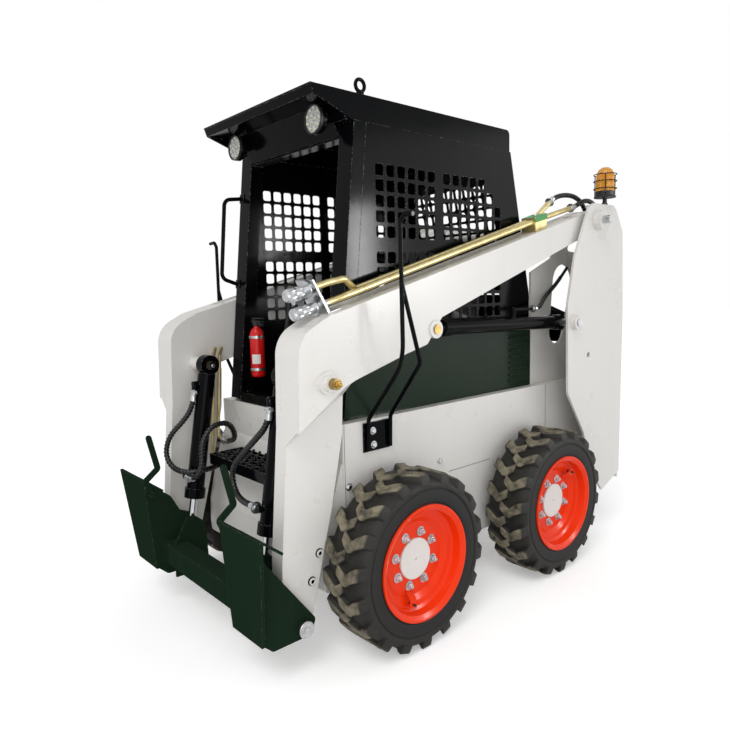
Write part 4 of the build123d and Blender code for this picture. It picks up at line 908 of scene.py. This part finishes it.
def spiral_guard(form, path, radius, pitch, depth):
    """Winds a flat band with rounded shoulders along a path of points, as a hose guard is wound."""
    lengths = [0.0]
    for here, following in zip(path, path[1:]):
        lengths.append(lengths[-1] + (following - here).length)
    steps = int(lengths[-1] / pitch * steps_a_turn)
    side = (path[1] - path[0]).orthogonal().normalized()
    previous = None
    leg = 0
    for step in range(steps + 1):
        travelled = lengths[-1] * step / steps
        while leg < len(path) - 2 and lengths[leg + 1] < travelled:
            leg += 1
        span = path[leg + 1] - path[leg]
        along = span.normalized()
        centre = path[leg] + span * ((travelled - lengths[leg]) / span.length)
        side = (side - along * side.dot(along)).normalized()
        other = along.cross(side)
        angle = 2 * pi * travelled / pitch
        outward = side * cos(angle) + other * sin(angle)
        ring = [
            form.verts.new(
                centre + along * (shift * pitch) + outward * (radius + rise * depth - guard_sunk)
            )
            for shift, rise in band_section
        ]
        if previous:
            for first in range(len(ring) - 1):
                form.faces.new((previous[first], previous[first + 1], ring[first + 1], ring[first]))
        previous = ring


depsgraph = bpy.context.evaluated_depsgraph_get()
for name, (node, body, thickness, length, route) in hose_routes.items():
    bare = bpy.data.objects[name].copy()
    bare.data = bpy.data.objects[name].data.copy()
    bare.data.bevel_depth = 0.0
    bpy.context.scene.collection.objects.link(bare)
    bpy.context.view_layer.update()
    traced = bare.evaluated_get(depsgraph).to_mesh()
    path = [vertex.co.copy() for vertex in traced.vertices]
    bpy.data.objects.remove(bare)
    form = bmesh.new()
    spiral_guard(form, path[4:-4], thickness / 2000, guard_pitch, guard_depth)
    finish_piece(f"guard_{name}", form, guard_plastic, body)
print("guards wound:", len(hose_routes))

# %% Fit the couplers' sleeves and the clamp of the pipes
def knurled_sleeve(form, base, facing, radius, length, ribs=22):
    """Adds a coupler's sleeve whose rim is cut into small ribs, from a base along a direction."""
    facing = Vector(facing).normalized()
    side = facing.orthogonal().normalized()
    other = facing.cross(side)
    rings = []
    for distance, share in ((0.0, 0.94), (length * 0.08, 1.0), (length * 0.92, 1.0), (length, 0.94)):
        ring = []
        for step in range(ribs * 2):
            angle = pi * step / ribs
            reach = radius * share * (1.0 if step % 2 else 0.93)
            outward = side * cos(angle) + other * sin(angle)
            ring.append(form.verts.new(Vector(base) + facing * distance + outward * reach))
        rings.append(ring)
    for low, high in zip(rings, rings[1:]):
        for step in range(ribs * 2):
            after = (step + 1) % (ribs * 2)
            form.faces.new((low[step], low[after], high[after], high[step]))
    form.faces.new(rings[0])
    form.faces.new(rings[-1])


coupler_radius = 0.0205
coupler_back = Vector((-0.9667, 0, 0.2558))  # from a coupler's tip towards its pipe
cap_rows = [
    (0.0, coupler_radius), (0.003, coupler_radius), (0.006, coupler_radius * 0.86),
    (0.006, coupler_radius * 0.62), (0.002, coupler_radius * 0.55), (0.002, 0.0),
]
form = bmesh.new()
for tip_ahead, tip_height in ((425, 1280.9), (450, 1344.3)):
    tip = spot_at(tip_ahead, 485, tip_height)
    knurled_sleeve(form, tip + coupler_back * 0.004, coupler_back, coupler_radius * 1.12, 0.030)
    knurled_sleeve(form, tip + coupler_back * 0.044, coupler_back, coupler_radius * 1.02, 0.022)
    hex_bolt(form, tip + coupler_back * 0.086, coupler_back, 0.040, 0.014)
    turn_on_lathe(form, tip + coupler_back * 0.004, -coupler_back, cap_rows, 32)
finish_piece("coupler_sleeves", form, bright_zinc, "lift_arms")

# The beam's top edge climbs 458 mm in 1707 mm from the place 330 mm ahead and 1274 mm high
clamp_behind = 1002
clamp_rise = 66  # above that edge
clamp_top = 1274 + (330 + clamp_behind) * 458 / 1707 + clamp_rise
clamp_outline = [
    (-1052, clamp_top - 8), (-1046, clamp_top + 10), (-960, clamp_top - 14), (-954, clamp_top - 32),
    (-958, clamp_top - 40), (-1052, clamp_top - 16),
]
form = bmesh.new()
prism(form, clamp_outline, 430, 511)
finish_piece("clamp_covers", form, green_nylon, "lift_arms", smooth=False)
form = bmesh.new()
hex_bolt(form, spot_at(-1004, 470, clamp_top - 4), (0.26, 0, 0.966), 0.014, 0.009)
finish_piece("clamp_bolts", form, bright_zinc, "lift_arms")
print("coupler sleeves and clamp fitted, the clamp's top at", round(clamp_top))

# %% [markdown]
# ## Step tread
#
# The step is a pressed steel grip: a black pan with rows of raised, open-topped studs that keep a
# muddy boot from sliding. Each stud is a small turned crater.

# %% Press the studs of the step
stud_rows = [
    (-0.001, 0.0115), (0.003, 0.0095), (0.0042, 0.0080), (0.004, 0.0065), (0.001, 0.0055), (0.001, 0.0),
]
step_top = 668
form = bmesh.new()
studs = 0
for row, ahead_mm in enumerate(range(214, 372, 26)):
    for column in range(-4, 5):
        across_mm = column * 50 + (25 if row % 2 else 0)
        if abs(across_mm) > 225:
            continue
        turn_on_lathe(form, spot_at(ahead_mm, across_mm, step_top), (0, 0, 1), stud_rows, 16)
        studs += 1
finish_piece("step_studs", form, black_enamel, "frame")
print("studs on the step:", studs)

# %% [markdown]
# ## Extinguisher
#
# A small powder extinguisher hangs inside the doorway: a drawn red cylinder with round shoulders, a
# black moulded valve with its lever, two bright straps and a blank label.

# %% Make the extinguisher
bottle = spot_at(106, -268, 976)
bottle_rows = [
    (0.0, 0.0), (0.0, 0.026), (0.004, 0.0305), (0.012, 0.0330), (0.190, 0.0330), (0.206, 0.0305),
    (0.218, 0.0240), (0.226, 0.0140), (0.230, 0.0125), (0.238, 0.0125), (0.238, 0.0),
]
bottle_height = 0.272  # to the top of the lever
form = bmesh.new()
turn_on_lathe(form, bottle, (0, 0, 1), bottle_rows, 48)
red_bottle = finish_piece("extinguisher_bottle", form, red_enamel, "frame")
neck_rows = [(0, 0.016), (0.004, 0.018), (0.020, 0.018), (0.026, 0.012), (0.026, 0.0)]
nozzle_rows = [(0, 0.006), (0.022, 0.006), (0.024, 0.0085), (0.034, 0.0085), (0.034, 0.0)]
handle_blocks = [  # carrying handle, squeeze lever and the web between them
    ((-0.012, -0.030, 0.250), (0.012, 0.052, 0.257)),
    ((-0.010, -0.026, 0.266), (0.010, 0.056, bottle_height)),
    ((-0.008, -0.028, 0.252), (0.008, -0.012, 0.270)),
]
form = bmesh.new()
turn_on_lathe(form, bottle + Vector((0, 0, 0.234)), (0, 0, 1), neck_rows, 24)
for low, high in handle_blocks:
    round_block(form, bottle + Vector(low), bottle + Vector(high), 0.002)
turn_on_lathe(form, bottle + Vector((0.0, 0.016, 0.246)), (0, 1, -0.2), nozzle_rows, 16)
valve = finish_piece("extinguisher_valve", form, black_nylon, "frame")
form = bmesh.new()
for height in (0.030, 0.178):
    strap_rows = [
        (height, 0.0332), (height, 0.0345), (height + 0.012, 0.0345), (height + 0.012, 0.0332),
    ]
    turn_on_lathe(form, bottle, (0, 0, 1), strap_rows, 48)
    round_block(
        form, bottle + Vector((0.030, -0.006, height)),
        bottle + Vector((0.0385, 0.006, height + 0.012)), 0.001,
    )
straps = finish_piece("extinguisher_straps", form, bright_zinc, "frame")
label_paper = moulded("blank_label", "d8d6d0", "e4e2dc", 0.5, 900.0, 0.02)
label_steps = 8
form = bmesh.new()
label_columns = []
for step in range(label_steps + 1):
    angle = radians(10 + 70 * step / label_steps)
    foot = bottle + Vector((cos(angle), sin(angle), 0)) * 0.0334
    label_columns.append([form.verts.new(foot + Vector((0, 0, height))) for height in (0.062, 0.105)])
for here, following in zip(label_columns, label_columns[1:]):
    form.faces.new((here[0], following[0], following[1], here[1]))
label = finish_piece("extinguisher_label", form, label_paper, "frame")
for piece in (red_bottle, valve, straps, label):
    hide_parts("fire_extinguisher")
print("extinguisher is", round(bottle_height * 1000), "mm tall")

# %% [markdown]
# ## Seat
#
# The driver sits on two upholstered pads of vinyl over moulded foam, on a low steel box. Foam pushes
# its cover out into a crown that a bevelled block doesn't have, so each pad is blown up by a cloth
# simulation with a little pressure inside, held to about a centimetre of travel, and then frozen.
# The backrest leans back by about eleven degrees.

# %% Make the seat box, the cushion and the backrest
def foam_pad(name, size, centre, lean, travel_cap):
    """An upholstered pad: a rounded block remeshed finely, then inflated as cloth and frozen."""
    form = bmesh.new()
    half = [value / 2 for value in size]
    round_block(form, [-value for value in half], half, min(size) * 0.32, 4)
    pad = finish_piece(f"{name}_start", form, seat_vinyl, "frame")
    pad.modifiers.clear()
    remesh = pad.modifiers.new("even_cells", "REMESH")
    remesh.mode = "VOXEL"
    remesh.voxel_size = 0.006
    shape = bpy.data.meshes.new_from_object(pad.evaluated_get(bpy.context.evaluated_depsgraph_get()))
    old_mesh = pad.data
    bpy.data.objects.remove(pad)
    bpy.data.meshes.remove(old_mesh)
    pad = bpy.data.objects.new(name, shape)
    bpy.context.scene.collection.objects.link(pad)
    start = [vertex.co.copy() for vertex in shape.vertices]
    cloth = pad.modifiers.new("inflate", "CLOTH")
    cloth.settings.use_pressure = True
    cloth.settings.uniform_pressure_force = 4.0
    cloth.settings.effector_weights.gravity = 0.0
    for moment in range(1, 21):
        bpy.context.scene.frame_set(moment)
    blown = bpy.data.meshes.new_from_object(
        pad.evaluated_get(bpy.context.evaluated_depsgraph_get())
    )
    for vertex, before, after in zip(shape.vertices, start, blown.vertices):
        move = after.co - before
        if move.length > travel_cap:
            move = move.normalized() * travel_cap
        vertex.co = before + move
    pad.modifiers.clear()
    bpy.data.meshes.remove(blown)
    bpy.context.scene.frame_set(1)
    turn_back = Matrix.Rotation(lean, 4, "Y")
    for vertex in shape.vertices:
        vertex.co = turn_back @ vertex.co + Vector(centre)
    for polygon in shape.polygons:
        polygon.use_smooth = True
    shape.materials.clear()
    shape.materials.append(seat_vinyl)
    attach(pad, "frame")
    return pad


cushion = foam_pad("seat_cushion", (0.40, 0.40, 0.085), spot_at(-520, 0, 1085), 0.0, 0.012)
backrest = foam_pad("seat_backrest", (0.075, 0.38, 0.46), spot_at(-760, 0, 1385), -0.2, 0.012)
form = bmesh.new()
round_block(form, spot_at(-755, -222, 872), spot_at(-335, 222, 1035), 0.008)
for rail in (-1, 1):
    round_block(form, spot_at(-760, rail * 150 - 12, 1030), spot_at(-320, rail * 150 + 12, 1048), 0.003)
seat_box = finish_piece("seat_box", form, black_enamel, "frame")
for piece in (cushion, backrest, seat_box):
    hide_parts("seat")
print("pad vertices:", len(cushion.data.vertices), len(backrest.data.vertices))

# %% [markdown]
# ## Work lamps
#
# Each round lamp is a die-cast bowl with a thin black bezel and a clear lens, behind which sit small
# bright reflector cups with a yellowish diode in each. The cups are what the eye reads, so they are
# turned one by one and set on a silvered plate in two rings. The lens is so clear that it is left out.

# %% Fit the lamp faces
silvered, tree, shader, place = new_material("silvered_reflector")
facets = add_node(tree, "ShaderNodeTexVoronoi", {"Scale": 260.0}, {"Vector": place})
tree.links.new(blend(tree, facets.outputs["Distance"], "e6e6e2", "9c9c98"), shader.inputs["Base Color"])
raise_surface(tree, shader, facets.outputs["Distance"], 0.5, 0.001)
set_shader(shader, {"Metallic": 0.2, "Roughness": 0.3})

diode = moulded("diode_phosphor", "e8dc9a", "f4efc8", 0.35, 800.0, 0.1)
lamp_place = (157, 289, 1999)
bezel_rows = [
    (0.0, 0.0538), (0.009, 0.0538), (0.0105, 0.052), (0.0105, 0.0495), (0.003, 0.0485), (0.003, 0.054),
]
plate_rows = [(0.0005, 0.0488), (0.0040, 0.0488), (0.0040, 0)]
cup_rows = [(0.0030, 0.0088), (0.0080, 0.0088), (0.0083, 0.0078), (0.0048, 0.0035), (0.0046, 0)]
diode_rows = [(0.0046, 0.0028), (0.0056, 0.0026), (0.0062, 0)]
cup_places = [(0.013, 120 * step) for step in range(3)] + [(0.036, 40 * step) for step in range(9)]
for hand, side in (("left", 1), ("right", -1)):
    centre = spot_at(lamp_place[0], side * lamp_place[1], lamp_place[2])
    cup_centres = [
        centre + Vector((0.0, radius * cos(radians(turned)), radius * sin(radians(turned))))
        for radius, turned in cup_places
    ]
    form = bmesh.new()
    turn_on_lathe(form, centre, (1, 0, 0), bezel_rows, 64)
    finish_piece(f"lamp_bezel_{hand}", form, black_nylon, "frame")
    form = bmesh.new()
    turn_on_lathe(form, centre, (1, 0, 0), plate_rows, 64)
    for cup_centre in cup_centres:
        turn_on_lathe(form, cup_centre, (1, 0, 0), cup_rows, 20)
    finish_piece(f"lamp_reflector_{hand}", form, silvered, "frame")
    form = bmesh.new()
    for cup_centre in cup_centres:
        turn_on_lathe(form, cup_centre, (1, 0, 0), diode_rows, 12)
    finish_piece(f"lamp_diodes_{hand}", form, diode, "frame")
dress(parts["work_lights"], black_enamel)
print("reflector cups in a lamp:", len(cup_places))

# %% [markdown]
# ## Beacon
#
# The warning beacon is a moulded amber polycarbonate dome with fine upright flutes on a black nylon
# foot, behind a guard of three wire rings on three posts. The dome is turned with its flutes pressed
# in, and its amber is see-through, so the foot's dark inside deepens its colour towards the middle.

# %% Turn the beacon's dome
amber, tree, shader, place = new_material("amber_polycarbonate")
amber_tone = blend(tree, noise(tree, place, 40.0, 3.0), "f59a14", "ffc03a")
tree.links.new(amber_tone, shader.inputs["Base Color"])
set_shader(shader, {
    "Roughness": 0.16, "IOR": 1.58, "Transmission Weight": 0.35, "Subsurface Weight": 0.2,
})
beacon_middle = spot_at(-1463, 581, 0)
form = bmesh.new()
flutes = 48
dome_rows = [
    (1.832, 0.0455), (1.86, 0.0450), (1.90, 0.0435), (1.925, 0.040), (1.941, 0.031), (1.950, 0.018),
    (1.9535, 0.0),
]
rings = []
for height, radius in dome_rows:
    if radius < 1e-6:
        rings.append([form.verts.new((beacon_middle.x, beacon_middle.y, height))])
        continue
    ring = []
    for step in range(flutes * 2):
        angle = pi * step / flutes
        pressed = radius * (1.0 if step % 2 else 0.975)
        outward = Vector((cos(angle), sin(angle), 0)) * pressed
        ring.append(form.verts.new((beacon_middle.x + outward.x, beacon_middle.y + outward.y, height)))
    rings.append(ring)
for low, high in zip(rings, rings[1:]):
    for step in range(flutes * 2):
        after = (step + 1) % (flutes * 2)
        corners = [low[step], low[after], high[after % len(high)], high[step % len(high)]]
        form.faces.new(list(dict.fromkeys(corners)))
form.faces.new(rings[0])
dome = finish_piece("beacon_lens", form, amber, "frame")
print("beacon flutes:", flutes)

# %% Add the beacon's foot and its wire guard
foot_centre = (beacon_middle.x, beacon_middle.y, 1.774)
foot_rows = [
    (0.0, 0.011), (0.026, 0.011), (0.026, 0.052), (0.030, 0.0545), (0.034, 0.052), (0.036, 0.0485),
    (0.056, 0.0485), (0.0585, 0.046), (0.0585, 0.0),
]
form = bmesh.new()
turn_on_lathe(form, foot_centre, (0, 0, 1), foot_rows, 48)
round_block(
    form, (beacon_middle.x - 0.022, 0.575, 1.768), (beacon_middle.x + 0.022, 0.587, 1.7745), 0.0015,
)
foot = finish_piece("beacon_foot", form, black_nylon, "frame")

guard_reach = 0.0555
guard_low = 1.802
guard_rings = (1.845, 1.882, 1.915)
post_radius = 0.0028
ring_wire_radius = 0.0026
ring_segments = 48
wire_corners = 8
form = bmesh.new()
for post in range(3):
    angle = radians(30 + 120 * post)
    post_foot = (
        beacon_middle.x + guard_reach * cos(angle), beacon_middle.y + guard_reach * sin(angle),
        guard_low,
    )
    turn_on_lathe(
        form, post_foot, (0, 0, 1), [(0, post_radius), (guard_rings[-1] - guard_low, post_radius)], 10,
    )
for ring_height in guard_rings:
    sections = []
    for step in range(ring_segments):
        angle = 2 * pi * step / ring_segments
        outward = Vector((cos(angle), sin(angle), 0))
        middle = Vector((beacon_middle.x, beacon_middle.y, ring_height)) + outward * guard_reach
        section = []
        for corner in range(wire_corners):
            turned = 2 * pi * corner / wire_corners
            direction = outward * cos(turned) + Vector((0, 0, 1)) * sin(turned)
            section.append(form.verts.new(middle + direction * ring_wire_radius))
        sections.append(section)
    for here, following in zip(sections, sections[1:] + sections[:1]):
        for corner in range(wire_corners):
            after = (corner + 1) % wire_corners
            form.faces.new((here[corner], here[after], following[after], following[corner]))
guard = finish_piece("beacon_guard", form, black_enamel, "frame")
for piece in (dome, foot, guard):
    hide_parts("beacon")
print("rings on the beacon's guard:", len(guard_rings))
